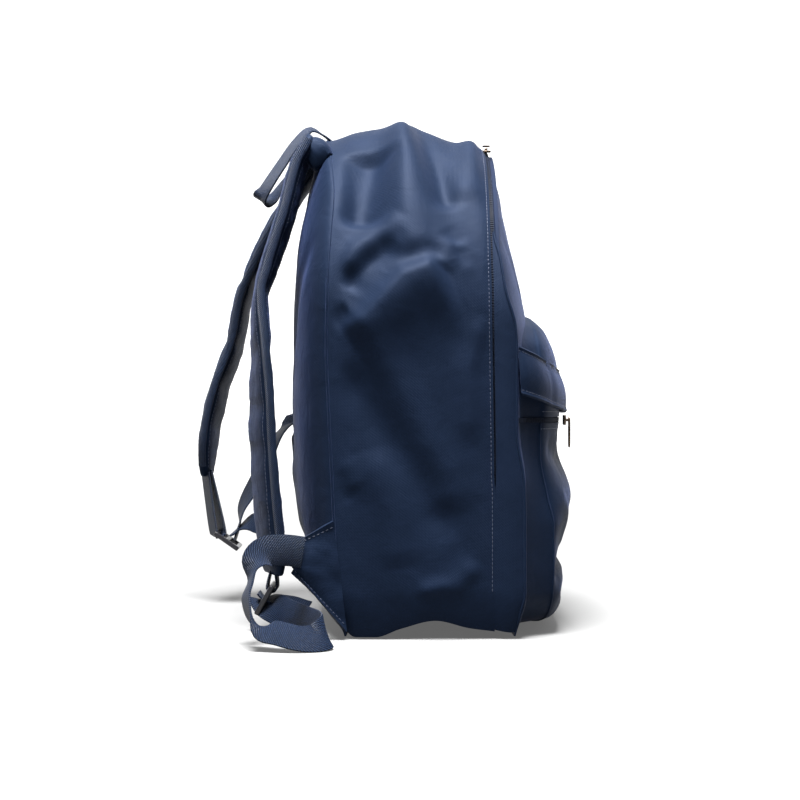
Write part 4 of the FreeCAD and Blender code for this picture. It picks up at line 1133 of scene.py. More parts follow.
def pocket_grid(low, high, count, lift=0.0):
    """Rows of the pocket: a side wall, the swelling front, and the other side wall."""
    levels = np.linspace(low, high, count)
    corner_x = POCKET_CORNER_X(levels)[:, None]
    corner_y = POCKET_CORNER_Y(levels)[:, None]
    wall_x = POCKET_WALL_X(levels)[:, None]
    wall_y = front_station(wall_x, levels[:, None]) + 0.0012
    spread = np.sin(np.linspace(-math.pi / 2, math.pi / 2, 81))[None, :]
    across = (1 - np.abs(spread) ** 2.6) ** 0.62
    x = corner_x * spread
    z = levels[:, None] + 0 * x
    depth = corner_y + (POCKET_MIDDLE_Y(levels)[:, None] - corner_y) * across
    folds = folds_at(x, z, POCKET_FOLDS) + ripple(x, z, 0.030, 0.0010, 31.9)
    y = depth - (folds + lift) * across ** 0.5
    parts = np.linspace(0, 1, 9)[None, :-1]
    dent = 0.0012 * np.sin(parts * math.pi)
    left_x = -wall_x + (wall_x - corner_x) * parts
    left_y = wall_y + (corner_y - wall_y) * parts + dent
    x = np.concatenate([left_x, x, -left_x[:, ::-1]], axis=1)
    y = np.concatenate([left_y, y, left_y[:, ::-1]], axis=1)
    z = np.concatenate([z[:, :8], z, z[:, :8]], axis=1)
    return np.stack([x, y, z], axis=-1)


def build_pocket():
    """Front pocket: the panel, the domed top, and the zip between them."""
    panel = pocket_grid(0.003, POCKET_ZIP[0] + 0.0006, 110)
    first = panel[:1]
    tucked = first.copy()
    tucked[..., 0] *= 0.96
    tucked[..., 1] = np.maximum(first[..., 1], -0.080)
    bottom = [tucked + (first - tucked) * part for part in (0, 0.4, 0.8)]
    panel = np.concatenate(bottom + [panel])
    top = pocket_grid(POCKET_ZIP[1] - 0.0006, 0.2605, 60)
    tape = pocket_grid(POCKET_ZIP[0], POCKET_ZIP[1], 7, lift=-0.0020)
    for name, node, grid, cloths, slot in (
            ("pocket_cloth", "pocket_panel", panel, ("cloth", "lining"), "shell_cloth"),
            ("pocket_top_cloth", "pocket_top", top, ("cloth", "lining"), "shell_cloth"),
            ("pocket_zip_tape", "pocket_zip", tape, ("tape", "tape"), "zip_tape")):
        piece = cloth_panel(name, grid, POCKET_CENTRE, [MATERIALS[key] for key in cloths],
                            thickness=0.0012)
        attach(piece, BAG)
        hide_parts(node)
        if slot == "shell_cloth":
            declare_sheet(grid)
    middle = tape[3]
    out = grid_normals(tape, POCKET_CENTRE)[3]
    row = teeth("pocket_zip_teeth", middle + out * 0.0006, out, 0.0036)
    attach(row, BAG)
    for side, column in (("left", 8), ("right", -9)):
        edge = welt(f"pocket_welt_{side}", panel[3:, column], 0.0010)
        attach(edge, BAG)
    rows = []
    for grid, row in ((panel, -4), (top, 3)):
        normals = grid_normals(grid, POCKET_CENTRE)
        rows.append((grid[row, 10:-10], normals[row, 10:-10]))
    thread = stitches("pocket_stitching", rows)
    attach(thread, BAG)


def flap_grid():
    """Storm flap that wraps the pocket from one front seam to the other."""
    spread = np.sin(np.linspace(-math.pi / 2, math.pi / 2, 97))[:, None]
    across = (1 - np.abs(spread) ** 2.5) ** 0.66
    part = np.linspace(0, 1, 30)[None, :]
    swell = 0.0032 * np.sin(part * math.pi) + 0.0013 * (
        np.exp(-((part - 0.03) / 0.03) ** 2) + np.exp(-((part - 0.96) / 0.035) ** 2))
    swell = swell + ripple(spread * 0.2, part * 0.045 + 0 * spread, 0.030, 0.0012, 41.5)
    top = np.stack([0.1468 * spread[:, 0], -0.0690 - 0.0428 * across[:, 0],
                    0.2308 - 0.0186 * across[:, 0]], axis=-1)
    bottom = np.stack([0.1500 * spread[:, 0], -0.0725 - 0.0462 * across[:, 0],
                       0.1915 - 0.0150 * across[:, 0]], axis=-1)
    grid = top[:, None] + (bottom - top)[:, None] * part[..., None]
    return grid + grid_normals(grid, POCKET_CENTRE) * swell[..., None]


def build_flap():
    """Storm flap over the pocket's zip, with a row of stitches along each long edge."""
    grid = flap_grid()
    flap = cloth_panel("flap_cloth", grid, POCKET_CENTRE,
                       [MATERIALS["cloth"], MATERIALS["lining"]], thickness=0.0024)
    normals = grid_normals(grid, POCKET_CENTRE)
    thread = stitches("flap_stitching", [
        (grid[2:-2, column], normals[2:-2, column]) for column in (3, 26)])
    for piece in (flap, thread):
        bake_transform(piece)
    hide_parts("pocket_flap")
    declare_sheet(grid)


# -------------------------------------------------------------------------------- fittings

def turned(points, centre, angle):
    """Points turned about the Y axis through a centre, as pieces sit along the arch."""
    turn = np.array(Matrix.Rotation(angle, 3, "Y"))
    return (np.asarray(points) @ turn.T) + np.asarray(centre)


def ring_plate(name, centre, angle, half, hole, shift, lengthwise, facing, material):
    """Flat metal tab with an eye: half sizes, and the eye's half sizes and shift along it."""
    lengthwise = np.array(lengthwise, float)
    facing = np.array(facing, float)
    sideways = np.cross(facing, lengthwise)
    turn = np.linspace(0, 2 * math.pi, 40, endpoint=False)
    cosine, sine = np.cos(turn), np.sin(turn)
    round_off = np.sign(cosine) * np.abs(cosine) ** 0.6, np.sign(sine) * np.abs(sine) ** 0.6
    loops = []
    for scale, size in (((1, 0.72), half), ((0.93, 1), half), ((0.93, -1), half),
                        ((1, -0.72), half), ((1, -1), hole), ((1, 1), hole)):
        offset = shift if size is hole else 0.0
        loops.append(
            lengthwise * (round_off[0] * size[0] * scale[0] + offset)[:, None]
            + sideways * (round_off[1] * size[1] * scale[0])[:, None]
            + facing * half[2] * scale[1])
    order = [0, 1, 5, 4, 2, 3]
    sections = np.array([turned(loops[index], centre, angle) for index in order + [0]])
    return tube_skin(name, sections, [material], caps=False)


def rounded_block(name, centre, angle, half, material, bevel=0.0008):
    """Block with rounded edges, turned about the Y axis."""
    corners = [(x * half[0], y * half[1], z * half[2])
               for x in (-1, 1) for y in (-1, 1) for z in (-1, 1)]
    faces = [(0, 1, 3, 2), (4, 6, 7, 5), (0, 4, 5, 1), (2, 3, 7, 6), (0, 2, 6, 4), (1, 5, 7, 3)]
    obj = mesh_object(name, turned(corners, centre, angle), faces, None, None, [material])
    work = bmesh.new()
    work.from_mesh(obj.data)
    bmesh.ops.recalc_face_normals(work, faces=work.faces)
    bmesh.ops.bevel(work, geom=work.edges[:], offset=bevel, segments=3, affect="EDGES",
                    profile=0.6)
    work.to_mesh(obj.data)
    work.free()
    obj.data.shade_smooth()
    obj.data.set_sharp_from_angle(angle=math.radians(40))
    return obj


def joined(name, parts):
    """One object from several."""
    work = bmesh.new()
    for part in parts:
        work.from_mesh(part.data)
    material = parts[0].data.materials[0]
    mesh = bpy.data.meshes.new(name)
    work.to_mesh(mesh)
    work.free()
    mesh.materials.append(material)
    for part in parts:
        bpy.data.objects.remove(part)
    obj = bpy.data.objects.new(name, mesh)
    bpy.context.scene.collection.objects.link(obj)
    return obj


def joint_place(name):
    """Place of a joint's pivot."""
    return next(joint["pos_m"] for joint in frame["joints"] if joint["name"] == name)


def middle_of(node):
    """Middle and half size of a node's box."""
    low, high = (np.array(corner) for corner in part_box(node))
    return (low + high) / 2, (high - low) / 2


def build_sliders():
    """Sliders and pulls of the main zip and of the pocket's zip."""
    metal = MATERIALS["metal"]
    eye = (0.0030, 0.0013)
    for side, name in ((-1, "left"), (1, "right")):
        centre, _ = middle_of(f"main_slider_{name}")
        angle = math.asin(centre[0] / ARCH_RADIUS)
        body = centre + np.array([0, -0.0008, -0.0038])
        parts = [
            rounded_block("plate", body, angle, (0.0058, 0.0038, 0.0010), metal),
            rounded_block("neck", body - np.array([0, 0, 0.0018]), angle,
                          (0.0030, 0.0006, 0.0014), metal, 0.0003),
            rounded_block("bridge", body + np.array([0, 0, 0.0022]), angle,
                          (0.0042, 0.0012, 0.0007), metal, 0.0005),
            rounded_block("post", body + np.array([-side * 0.0036, 0, 0.0012]), angle,
                          (0.0008, 0.0012, 0.0014), metal, 0.0004)]
        slider = joined(f"zip_slider_{name}_body", parts)
        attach(slider, f"zip_slider_{name}")
        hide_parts(f"main_slider_{name}")
        centre, _ = middle_of(f"main_pull_{name}")
        pull = ring_plate(f"zip_pull_{name}_tab", centre - np.array([0, 0, 0.0042]), angle,
                          (0.0130, 0.0030, 0.0008), eye, -side * 0.0085, (1, 0, 0), (0, 0, 1),
                          metal)
        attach(pull, f"zip_pull_{name}")
        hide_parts(f"main_pull_{name}")
    centre, _ = middle_of("pocket_slider")
    parts = [
        rounded_block("plate", centre + np.array([0, 0.0010, 0]), 0.0,
                      (0.0058, 0.0010, 0.0042), metal),
        rounded_block("bridge", centre + np.array([0, -0.0010, 0]), 0.0,
                      (0.0040, 0.0010, 0.0012), metal, 0.0006)]
    slider = joined("pocket_slider_body", parts)
    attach(slider, "pocket_zip_slider")
    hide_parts("pocket_slider")
    centre, half = middle_of("pocket_pull")
    pull = ring_plate("pocket_pull_tab", centre, 0.0, (half[2], half[0], half[1]), eye,
                      half[2] - 0.0045, (0, 0, 1), (0, -1, 0), metal)
    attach(pull, "pocket_zip_pull")
    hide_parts("pocket_pull")


def build_lock(name):
    """Ladder lock: a frame with three bars, its edges rounded."""
    joint = joint_place(f"lock_{name}_tilt")
    lean = {"left": math.radians(30), "right": math.radians(-55)}[name]
    across = (-0.0180, -0.0140, 0.0140, 0.0180)
    down = (0.0020, -0.0020, -0.0093, -0.0133, -0.0206, -0.0246)
    half = 0.0021
    turn = Matrix.Rotation(lean, 3, "X")
    points = [
        Vector(joint) + turn @ Vector((x, sign * half, z))
        for sign in (-1, 1) for z in down for x in across]
    columns = len(across)
    layer = columns * len(down)
    solid = {(row, column) for row in range(len(down) - 1) for column in range(columns - 1)
             if not (column == 1 and row in (1, 3))}
    faces = []
    for row, column in sorted(solid):
        start = row * columns + column
        loop = (start, start + 1, start + 1 + columns, start + columns)
        faces.append(loop)
        faces.append(tuple(layer + corner for corner in reversed(loop)))
        steps = (((row - 1, column), 0, 1), ((row, column + 1), 1, 2),
                 ((row + 1, column), 2, 3), ((row, column - 1), 3, 0))
        for cell, first, second in steps:
            if cell not in solid:
                faces.append((loop[second], loop[first], layer + loop[first],
                              layer + loop[second]))
    obj = mesh_object(f"lock_{name}_frame", points, faces, None, None, [MATERIALS["plastic"]])
    work = bmesh.new()
    work.from_mesh(obj.data)
    bmesh.ops.recalc_face_normals(work, faces=work.faces)
    sharp = [edge for edge in work.edges if edge.calc_face_angle(0) > 0.5]
    bmesh.ops.bevel(work, geom=sharp, offset=0.0011, segments=3, affect="EDGES", profile=0.5)
    work.to_mesh(obj.data)
    work.free()
    obj.data.shade_smooth()
    obj.data.set_sharp_from_angle(angle=math.radians(35))
    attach(obj, f"lock_{name}")
    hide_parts(f"ladder_lock_{name}")


def build_locks():
    """Both ladder locks."""
    build_lock("left")
    build_lock("right")


# ------------------------------------------------------------------------- carrying system

def place_ribbon(name, stations, width, replaced):
    """Webbing strip of its real width along the stations, with the part it replaces hidden."""
    strip, points = ribbon(name, stations, width)
    if replaced:
        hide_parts(replaced)
    return strip


def build_haul_loop():
    """Webbing loop at the top of the back, hanging to one side."""
    stations = (
        (-0.0200, 0.0800, 0.4090, 1.00, 0.00, 0.05), (-0.0205, 0.0890, 0.4160, 0.95, 0.20, 0.24),
        (-0.0205, 0.1000, 0.4205, 0.91, 0.27, 0.34), (-0.0205, 0.1120, 0.4095, 0.89, 0.36, 0.33),
        (-0.0195, 0.1240, 0.3925, 0.88, 0.41, 0.34), (-0.0165, 0.1360, 0.3750, 0.85, 0.44, 0.36),
        (-0.0100, 0.1430, 0.3640, 0.80, 0.46, 0.36), (-0.0020, 0.1425, 0.3615, 0.62, 0.60, 0.46),
        (0.0070, 0.1350, 0.3660, 0.86, 0.38, 0.30), (0.0150, 0.1240, 0.3830, 0.96, 0.20, 0.16),
        (0.0185, 0.1130, 0.3985, 0.99, 0.08, 0.08), (0.0200, 0.1010, 0.4110, 1.00, 0.04, 0.04),
        (0.0205, 0.0900, 0.4130, 1.00, 0.00, 0.02), (0.0200, 0.0800, 0.4085, 1.00, 0.00, 0.04))
    loop = place_ribbon("haul_webbing", stations, HAUL_WEBBING, "haul_loop")
    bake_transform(loop)


def strap_line(name):
    """Stations (x, y, z, half width, half thickness) down the middle of a padded strap."""
    if name == "left":
        profile = (
            (0.0965, 0.4060, 0.026, 0.0045), (0.1010, 0.3960, 0.028, 0.0065),
            (0.1076, 0.3830, 0.029, 0.0074), (0.1180, 0.3400, 0.030, 0.0078),
            (0.1320, 0.2950, 0.030, 0.0078), (0.1378, 0.2740, 0.030, 0.0072),
            (0.1372, 0.2350, 0.030, 0.0076), (0.1360, 0.1880, 0.030, 0.0078),
            (0.1355, 0.1600, 0.030, 0.0082), (0.1325, 0.1150, 0.030, 0.0086),
            (0.1290, 0.0780, 0.030, 0.0086), (0.1270, 0.0560, 0.028, 0.0074),
            (0.1260, 0.0440, 0.025, 0.0048))
        knee = 0.223
    else:
        profile = (
            (0.0965, 0.4060, 0.026, 0.0045), (0.1030, 0.3950, 0.028, 0.0065),
            (0.1175, 0.3750, 0.029, 0.0074), (0.1380, 0.3450, 0.030, 0.0078),
            (0.1550, 0.3120, 0.030, 0.0078), (0.1682, 0.2800, 0.030, 0.0074),
            (0.1760, 0.2400, 0.030, 0.0078), (0.1895, 0.2020, 0.030, 0.0076),
            (0.1975, 0.1700, 0.029, 0.0078), (0.2012, 0.1450, 0.026, 0.0072),
            (0.2024, 0.1260, 0.020, 0.0060), (0.2026, 0.1160, 0.017, 0.0045))
        knee = 0.260
    side = -1 if name == "left" else 1
    apart = STRAP_END_X - STRAP_ROOT_X
    return np.array([
        (side * (STRAP_ROOT_X + apart * min(1, (0.405 - z) / (0.405 - knee))), y, z, wide, thick)
        for y, z, wide, thick in profile])


# Levels of the creases across each strap, and how far each twists by its lower end, in degrees.
PAD_CREASES = {"left": (0.275, 0.222, 0.181, 0.147), "right": (0.300, 0.243, 0.203, 0.166)}
PAD_TURN = {"left": 19.0, "right": -6.0}


def strap_frames(name, count):
    """Stations of a strap with their width and thickness directions."""
    path = smooth_path(strap_line(name), count)
    points = path[:, :3]
    turn = math.radians(PAD_TURN[name]) * smooth_step(0.33, 0.16, points[:, 2])
    hint = np.stack([np.cos(turn), np.sin(turn), 0 * turn], axis=-1)
    return path, *frames_along(points, hint)


def swell(obj, held, limit):
    """Fill a closed mesh with air for a moment, and keep no move longer than the limit."""
    group = obj.vertex_groups.new(name="held")
    group.add([int(index) for index in held], 1.0, "REPLACE")
    cloth = obj.modifiers.new("cloth", "CLOTH")
    cloth.settings.vertex_group_mass = "held"
    cloth.settings.use_pressure = True
    cloth.settings.uniform_pressure_force = look().pad_pressure
    cloth.settings.effector_weights.gravity = 0
    cloth.settings.quality = 5
    cloth.settings.mass = 0.25
    cloth.settings.tension_stiffness = 25
    cloth.settings.compression_stiffness = 10
    cloth.settings.bending_stiffness = 0.4
    cloth.point_cache.frame_start = 1
    cloth.point_cache.frame_end = 20
    scene = bpy.context.scene
    for number in range(1, 21):
        scene.frame_set(number)
    before = np.array([vertex.co[:] for vertex in obj.data.vertices])
    depsgraph = bpy.context.evaluated_depsgraph_get()
    after = np.array([vertex.co[:] for vertex in obj.evaluated_get(depsgraph).data.vertices])
    obj.modifiers.clear()
    scene.frame_set(1)
    move = after - before
    length = np.linalg.norm(move, axis=1, keepdims=True)
    final = before + move * np.minimum(1, limit / np.maximum(length, 1e-9))
    obj.data.vertices.foreach_set("co", final.ravel())
    obj.vertex_groups.clear()


def even_mesh(obj, size):
    """Rebuild a closed mesh with faces of one size."""
    remesh = obj.modifiers.new("remesh", "REMESH")
    remesh.mode = "VOXEL"
    remesh.voxel_size = size
    replace_mesh(obj)


def replace_mesh(obj):
    """Keep the result of an object's modifiers as its mesh."""
    depsgraph = bpy.context.evaluated_depsgraph_get()
    mesh = bpy.data.meshes.new_from_object(obj.evaluated_get(depsgraph))
    mesh.name = obj.name
    obj.modifiers.clear()
    obj.data = mesh


def build_pad(name):
    """Padded strap: a closed skin pinched at its creases, swelled, smoothed and wrinkled."""
    path, wide, thick = strap_frames(name, 90)
    turn = np.linspace(0, 2 * math.pi, 36, endpoint=False)
    cosine, sine = np.cos(turn), np.sin(turn)
    across = np.sign(cosine) * np.abs(cosine) ** 0.75
    through = np.sign(sine) * np.abs(sine) ** 0.85
    pinch = sum(
        np.exp(-((path[:, 2] - level) / 0.0045) ** 2) for level in PAD_CREASES[name])
    depth = path[:, 4] * (1 - 0.30 * np.minimum(pinch, 1))
    sections = (
        path[:, None, :3]
        + wide[:, None] * (across[None, :] * path[:, 3][:, None])[..., None]
        + thick[:, None] * (through[None, :] * depth[:, None])[..., None])
    pad = tube_skin(f"pad_{name}_cloth", sections, [MATERIALS["pad"]])
    even_mesh(pad, 0.0045)
    points = np.array([vertex.co[:] for vertex in pad.data.vertices])
    nearest = np.argmin(
        np.linalg.norm(points[:, None] - path[None, :, :3], axis=2), axis=1)
    lateral = np.sum((points - path[nearest, :3]) * wide[nearest], axis=1)
    edge = np.abs(lateral) > path[nearest, 3] - 0.0035
    crease = pinch[nearest] > 0.55
    ends = (nearest < 4) | (nearest > 85)
    swell(pad, np.flatnonzero(edge | crease | ends), 0.006)
    smooth = pad.modifiers.new("smooth", "SMOOTH")
    smooth.iterations = 4
    finer = pad.modifiers.new("finer", "SUBSURF")
    finer.levels = 1
    replace_mesh(pad)
    pad.data.materials.clear()
    pad.data.materials.append(MATERIALS["pad"])
    pad_uvs(pad, path[:, :3], wide)
    pad.data.shade_smooth()
    wrinkle_pad(pad, name)
    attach(pad, f"strap_{name}")
    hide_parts(f"shoulder_pad_{name}")
    build_binding(name, pad, path, wide, thick)


def pad_uvs(obj, line, wide):
    """UVs in metres: length along the strap, and offset across it."""
    points = np.array([vertex.co[:] for vertex in obj.data.vertices])
    nearest = np.argmin(np.linalg.norm(points[:, None] - line[None], axis=2), axis=1)
    along = np.r_[0, np.cumsum(np.linalg.norm(np.diff(line, axis=0), axis=1))]
    lateral = np.sum((points - line[nearest]) * wide[nearest], axis=1)
    tangent = unit(np.gradient(line, axis=0))
    ahead = np.sum((points - line[nearest]) * tangent[nearest], axis=1)
    layer = obj.data.uv_layers.new(name="UVMap")
    corners = np.array([loop.vertex_index for loop in obj.data.loops])
    uvs = np.stack([along[nearest] + ahead, lateral], axis=1)
    layer.data.foreach_set("uv", uvs[corners].ravel())


def wrinkle_pad(obj, name):
    """Fine cross wrinkles over the whole pad."""
    seed = {"left": 51.3, "right": 63.1}[name]
    normals = np.array([vertex.normal[:] for vertex in obj.data.vertices])
    points = np.array([vertex.co[:] for vertex in obj.data.vertices])
    wave = ripple(points[:, 2], points[:, 0] * 0.35, 0.010, 0.0006, seed)
    obj.data.vertices.foreach_set("co", (points + normals * wave[:, None]).ravel())


def build_binding(name, pad, path, wide, thick):
    """Edge tape and stitches down both sides of a padded strap."""
    keep = slice(2, -3)
    for side, label in ((-1, "inner"), (1, "outer")):
        line = path[keep, :3] + wide[keep] * (side * (path[keep, 3] - 0.0006))[:, None]
        sections = oval_sections(line, thick[keep], 0.0036, 0.0017, 12)
        tape = tube_skin(f"pad_{name}_binding_{label}", sections, [MATERIALS["webbing"]])
        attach(tape, f"strap_{name}")
    lines = []
    for side in (-1, 1):
        for face in (-1, 1):
            base = path[keep, :3] + wide[keep] * (side * (path[keep, 3] - 0.0062))[:, None]
            found = surface_points(pad, base + thick[keep] * face * 0.03, -thick[keep] * face)
            lines.append((found, thick[keep] * face))
    thread = stitches(f"pad_{name}_stitching", lines)
    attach(thread, f"strap_{name}")


def surface_points(obj, origins, directions):
    """Where rays first meet a mesh."""
    found = []
    for origin, direction in zip(origins, directions):
        hit, place, _, _ = obj.ray_cast(Vector(origin), Vector(direction))
        found.append(place[:] if hit else (origin + direction * 0.022))
    return np.array(found)


def build_pads():
    """Both padded straps."""
    build_pad("left")
    build_pad("right")


def build_roots():
    """Padded roots from the back seam to the tops of the straps."""
    outline = smooth_path(
        ((0.0780, 0.3940), (0.0815, 0.4015), (0.0870, 0.4065), (0.0940, 0.4085),
         (0.1005, 0.4060), (0.1030, 0.3990), (0.1010, 0.3890), (0.0950, 0.3800),
         (0.0890, 0.3800), (0.0830, 0.3860), (0.0780, 0.3940)), 49)[:-1]
    middle = outline.mean(axis=0)
    for side, name in ((-1, "left"), (1, "right")):
        sections = []
        for across in np.linspace(-1, 1, 25):
            loop = middle + (outline - middle) * (1 - 0.30 * abs(across) ** 6)
            x = side * STRAP_ROOT_X + across * 0.0245 + 0 * loop[:, 0]
            z = loop[:, 1] - 0.0030 * across * side
            sections.append(np.stack([x, loop[:, 0], z], axis=-1))
        root = tube_skin(f"root_{name}_cloth", np.array(sections), [MATERIALS["pad"]])
        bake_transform(root)
        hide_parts(f"strap_root_{name}")


def build_pad_loops():
    """Webbing that ties each ladder lock's upper bar to the end of its strap."""
    for side, name in ((-1, "left"), (1, "right")):
        bar = np.array(joint_place(f"lock_{name}_tilt")[1:])
        above = strap_line(name)[-1, 1:3] + np.array([0, 0.006])
        between = above * 0.5 + bar * 0.5
        pull = (bar - above) / np.linalg.norm(bar - above)
        across = np.array([pull[1], -pull[0]])
        ring = [above + across * 0.0014, between + across * 0.003]
        for angle in np.linspace(0, math.pi, 7):
            ring.append(bar + (across * math.cos(angle) + pull * math.sin(angle)) * 0.0040)
        ring += [between - across * 0.003, above - across * 0.0014]
        lean = 0.42 if name == "right" else 0.0
        middle = (len(ring) - 1) / 2
        stations = []
        for number, (y, z) in enumerate(ring):
            away = abs(number - middle) / (len(ring) / 2)
            tilt = lean * float(smooth_step(0.1, 0.5, away))
            stations.append((side * STRAP_END_X, y, z, 1, tilt, 0))
        loop = place_ribbon(f"loop_{name}_webbing", stations, STRAP_WEBBING,
                            f"pad_loop_{name}")
        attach(loop, f"strap_{name}")


def build_ears():
    """Folded cloth triangles in the back seam that hold the ends of the lower webbing."""
    for side, name in ((-1, "left"), (1, "right")):
        along = np.linspace(0, 1, 34)[:, None]
        up = np.linspace(0, 1, 40)[None, :]
        low = np.array([(0.0640, 0.0060), (0.1047, 0.0540)])
        high = np.array([(0.0745, 0.0930), (0.1156, 0.0700)])
        bottom = low[0] + (low[1] - low[0]) * along
        top = high[0] + (high[1] - high[0]) * along
        plane = bottom[:, None] + (top - bottom)[:, None] * up[..., None]
        puff = 0.0030 * np.sin(along * math.pi * 0.8) * np.sin(up * math.pi)
        puff = puff + 0.0011 * (np.exp(-(up / 0.04) ** 2) + np.exp(-((1 - up) / 0.04) ** 2))
        puff = puff + ripple(plane[..., 0], plane[..., 1], 0.018, 0.0009, 71.0)
        x = side * (0.1535 + 0.0052 * along + puff)
        grid = np.stack([x, plane[..., 0], plane[..., 1]], axis=-1)
        ear = cloth_panel(f"ear_{name}_cloth", grid, (side * 0.10, 0.09, 0.05),
                          [MATERIALS["cloth"], MATERIALS["cloth"]], thickness=0.0032)
        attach(ear, BAG)
        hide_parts(f"strap_ear_{name}")
        declare_sheet(grid)
        normals = grid_normals(grid, (side * 0.10, 0.09, 0.05))
        thread = stitches(f"ear_{name}_stitching", [
            (grid[2:-1, column], normals[2:-1, column]) for column in (2, -3)])
        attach(thread, BAG)


def build_lower_webbing():
    """Webbing from each ear to its ladder lock, and the free tail beyond the lock."""
    skin = 0.1605
    left = (
        (-skin - 0.0003, 0.0980, 0.0690, 0.00, -0.10, 1.00),
        (-skin - 0.0015, 0.1080, 0.0705, 0.00, -0.05, 1.00),
        (-skin - 0.0035, 0.1180, 0.0710, 0.02, 0.12, 1.00),
        (-skin - 0.0065, 0.1270, 0.0698, 0.10, 0.26, 0.95),
        (-skin - 0.0120, 0.1335, 0.0635, 0.58, 0.42, 0.66),
        (-skin - 0.0190, 0.1365, 0.0510, 0.97, 0.10, 0.18),
        (-skin - 0.0280, 0.1395, 0.0380, 0.95, 0.26, 0.08),
        (-skin - 0.0360, 0.1360, 0.0250, 0.92, 0.34, 0.12),
        (-skin - 0.0430, 0.1270, 0.0155, 0.80, 0.38, 0.42),
        (-skin - 0.0480, 0.1130, 0.0125, 0.78, 0.10, 0.60),
        (-skin - 0.0500, 0.0970, 0.0090, 0.62, 0.45, 0.62),
        (-skin - 0.0460, 0.0840, 0.0090, 0.25, 0.70, 0.62),
        (-skin - 0.0360, 0.0790, 0.0120, 0.05, 0.35, 0.93),
        (-skin - 0.0200, 0.0830, 0.0135, 0.00, 0.10, 1.00),
        (-0.1500, 0.0970, 0.0140, 0.10, 0.00, 1.00),
        (-0.1220, 0.1140, 0.0165, 0.35, 0.05, 0.92),
        (-0.1050, 0.1280, 0.0200, 0.80, 0.10, 0.55),
        (-0.0930, 0.1385, 0.0240, 1.00, 0.00, 0.00))
    right = (
        (skin + 0.0003, 0.0980, 0.0690, 0.00, -0.30, 1.00),
        (skin + 0.0015, 0.1070, 0.0770, 0.00, -0.55, 0.83),
        (skin + 0.0025, 0.1120, 0.0980, 0.05, -0.90, 0.35),
        (skin - 0.0005, 0.1140, 0.1250, 0.20, -0.90, 0.20),
        (skin - 0.0085, 0.1175, 0.1500, 0.60, -0.75, 0.20),
        (skin - 0.0205, 0.1250, 0.1650, 0.92, -0.30, 0.20),
        (skin - 0.0325, 0.1370, 0.1560, 0.95, 0.15, 0.20),
        (skin - 0.0425, 0.1490, 0.1310, 0.88, 0.42, 0.18),
        (skin - 0.0525, 0.1610, 0.1060, 0.84, 0.50, 0.20),
        (skin - 0.0605, 0.1695, 0.0880, 0.92, 0.35, 0.10),
        (0.0950, 0.1720, 0.0720, 1.00, 0.05, 0.00),
        (0.0925, 0.1765, 0.0570, 1.00, 0.00, 0.00))
    tail = {
        "left": (
            (-0.0920, 0.1385, 0.0300, 1.0, 0.0, 0.0), (-0.0920, 0.1335, 0.0245, 1.0, 0.05, 0.0),
            (-0.0925, 0.1250, 0.0245, 0.95, 0.20, 0.20),
            (-0.0940, 0.1120, 0.0210, 0.80, 0.35, 0.45),
            (-0.0960, 0.0985, 0.0160, 0.70, 0.45, 0.55)),
        "right": (
            (0.0920, 0.1800, 0.0620, 1.0, 0.0, 0.0), (0.0920, 0.1760, 0.0645, 1.0, 0.0, 0.1),
            (0.0915, 0.1700, 0.0700, 0.90, -0.2, 0.30), (0.0900, 0.1600, 0.0740, 0.70, -0.3, 0.60),
            (0.0885, 0.1480, 0.0720, 0.60, -0.3, 0.70))}
    for name, stations in (("left", left), ("right", right)):
        strip = place_ribbon(f"lower_{name}_webbing", stations, STRAP_WEBBING,
                             f"lower_webbing_{name}")
        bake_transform(strip)
        free = place_ribbon(f"tail_{name}_webbing", tail[name], STRAP_WEBBING, None)
        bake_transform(free)


# ---------------------------------------------------------------------------------- stage

CAMERA_PLACE = (-1.446, 0.0226, 0.1876)
CAMERA_LENS = 74.3
BACKDROP_START = 2.2
BACKDROP_RADIUS = 1.4
FLOOR_REACH = 9.0


def sweep_floor():
    """Floor that curves up into a backdrop on the side away from the camera."""
    turn = np.linspace(0, math.pi / 2, 24)
    profile = [(-FLOOR_REACH, 0.0)]
    for angle in turn:
        profile.append((BACKDROP_START + BACKDROP_RADIUS * math.sin(angle),
                        BACKDROP_RADIUS - BACKDROP_RADIUS * math.cos(angle)))
    profile.append((BACKDROP_START + BACKDROP_RADIUS, 7.0))
    points = [(x, y, z - 0.0006) for x, z in profile for y in (-FLOOR_REACH, FLOOR_REACH)]
    faces = [(2 * row, 2 * row + 1, 2 * row + 3, 2 * row + 2) for row in range(len(profile) - 1)]
    floor = mesh_object("floor", points, faces)
    floor.data.shade_smooth()
    return floor


def floor_material():
    """Pale floor that glows more towards the backdrop and away from the bag."""
    material, tree, shader = principled("pale_floor", Roughness=0.8)
    shader.inputs["Base Color"].default_value = (0.13, 0.13, 0.13, 1)
    shader.inputs["Emission Color"].default_value = (1.0, 1.0, 1.0, 1)
    where = add(tree, "ShaderNodeTexCoord", (-900, -300))
    split = add(tree, "ShaderNodeSeparateXYZ", (-700, -300))
    far = add(tree, "ShaderNodeVectorMath", (-700, -500), operation="LENGTH")
    tree.links.new(where.outputs["Object"], split.inputs[0])
    tree.links.new(where.outputs["Object"], far.inputs[0])
    glows = []
    for value, low, high, most in ((split.outputs["X"], 0.4, 2.6, 0.90),
                                   (far.outputs["Value"], 0.9, 3.5, 0.45)):
        glow = add(tree, "ShaderNodeMapRange", (-500, -300))
        tree.links.new(value, glow.inputs["Value"])
        glow.inputs["From Min"].default_value = low
        glow.inputs["From Max"].default_value = high
        glow.inputs["To Min"].default_value = 0.06
        glow.inputs["To Max"].default_value = most
        glows.append(glow.outputs["Result"])
    tree.links.new(maths(tree, "ADD", *glows), shader.inputs["Emission Strength"])
    return material


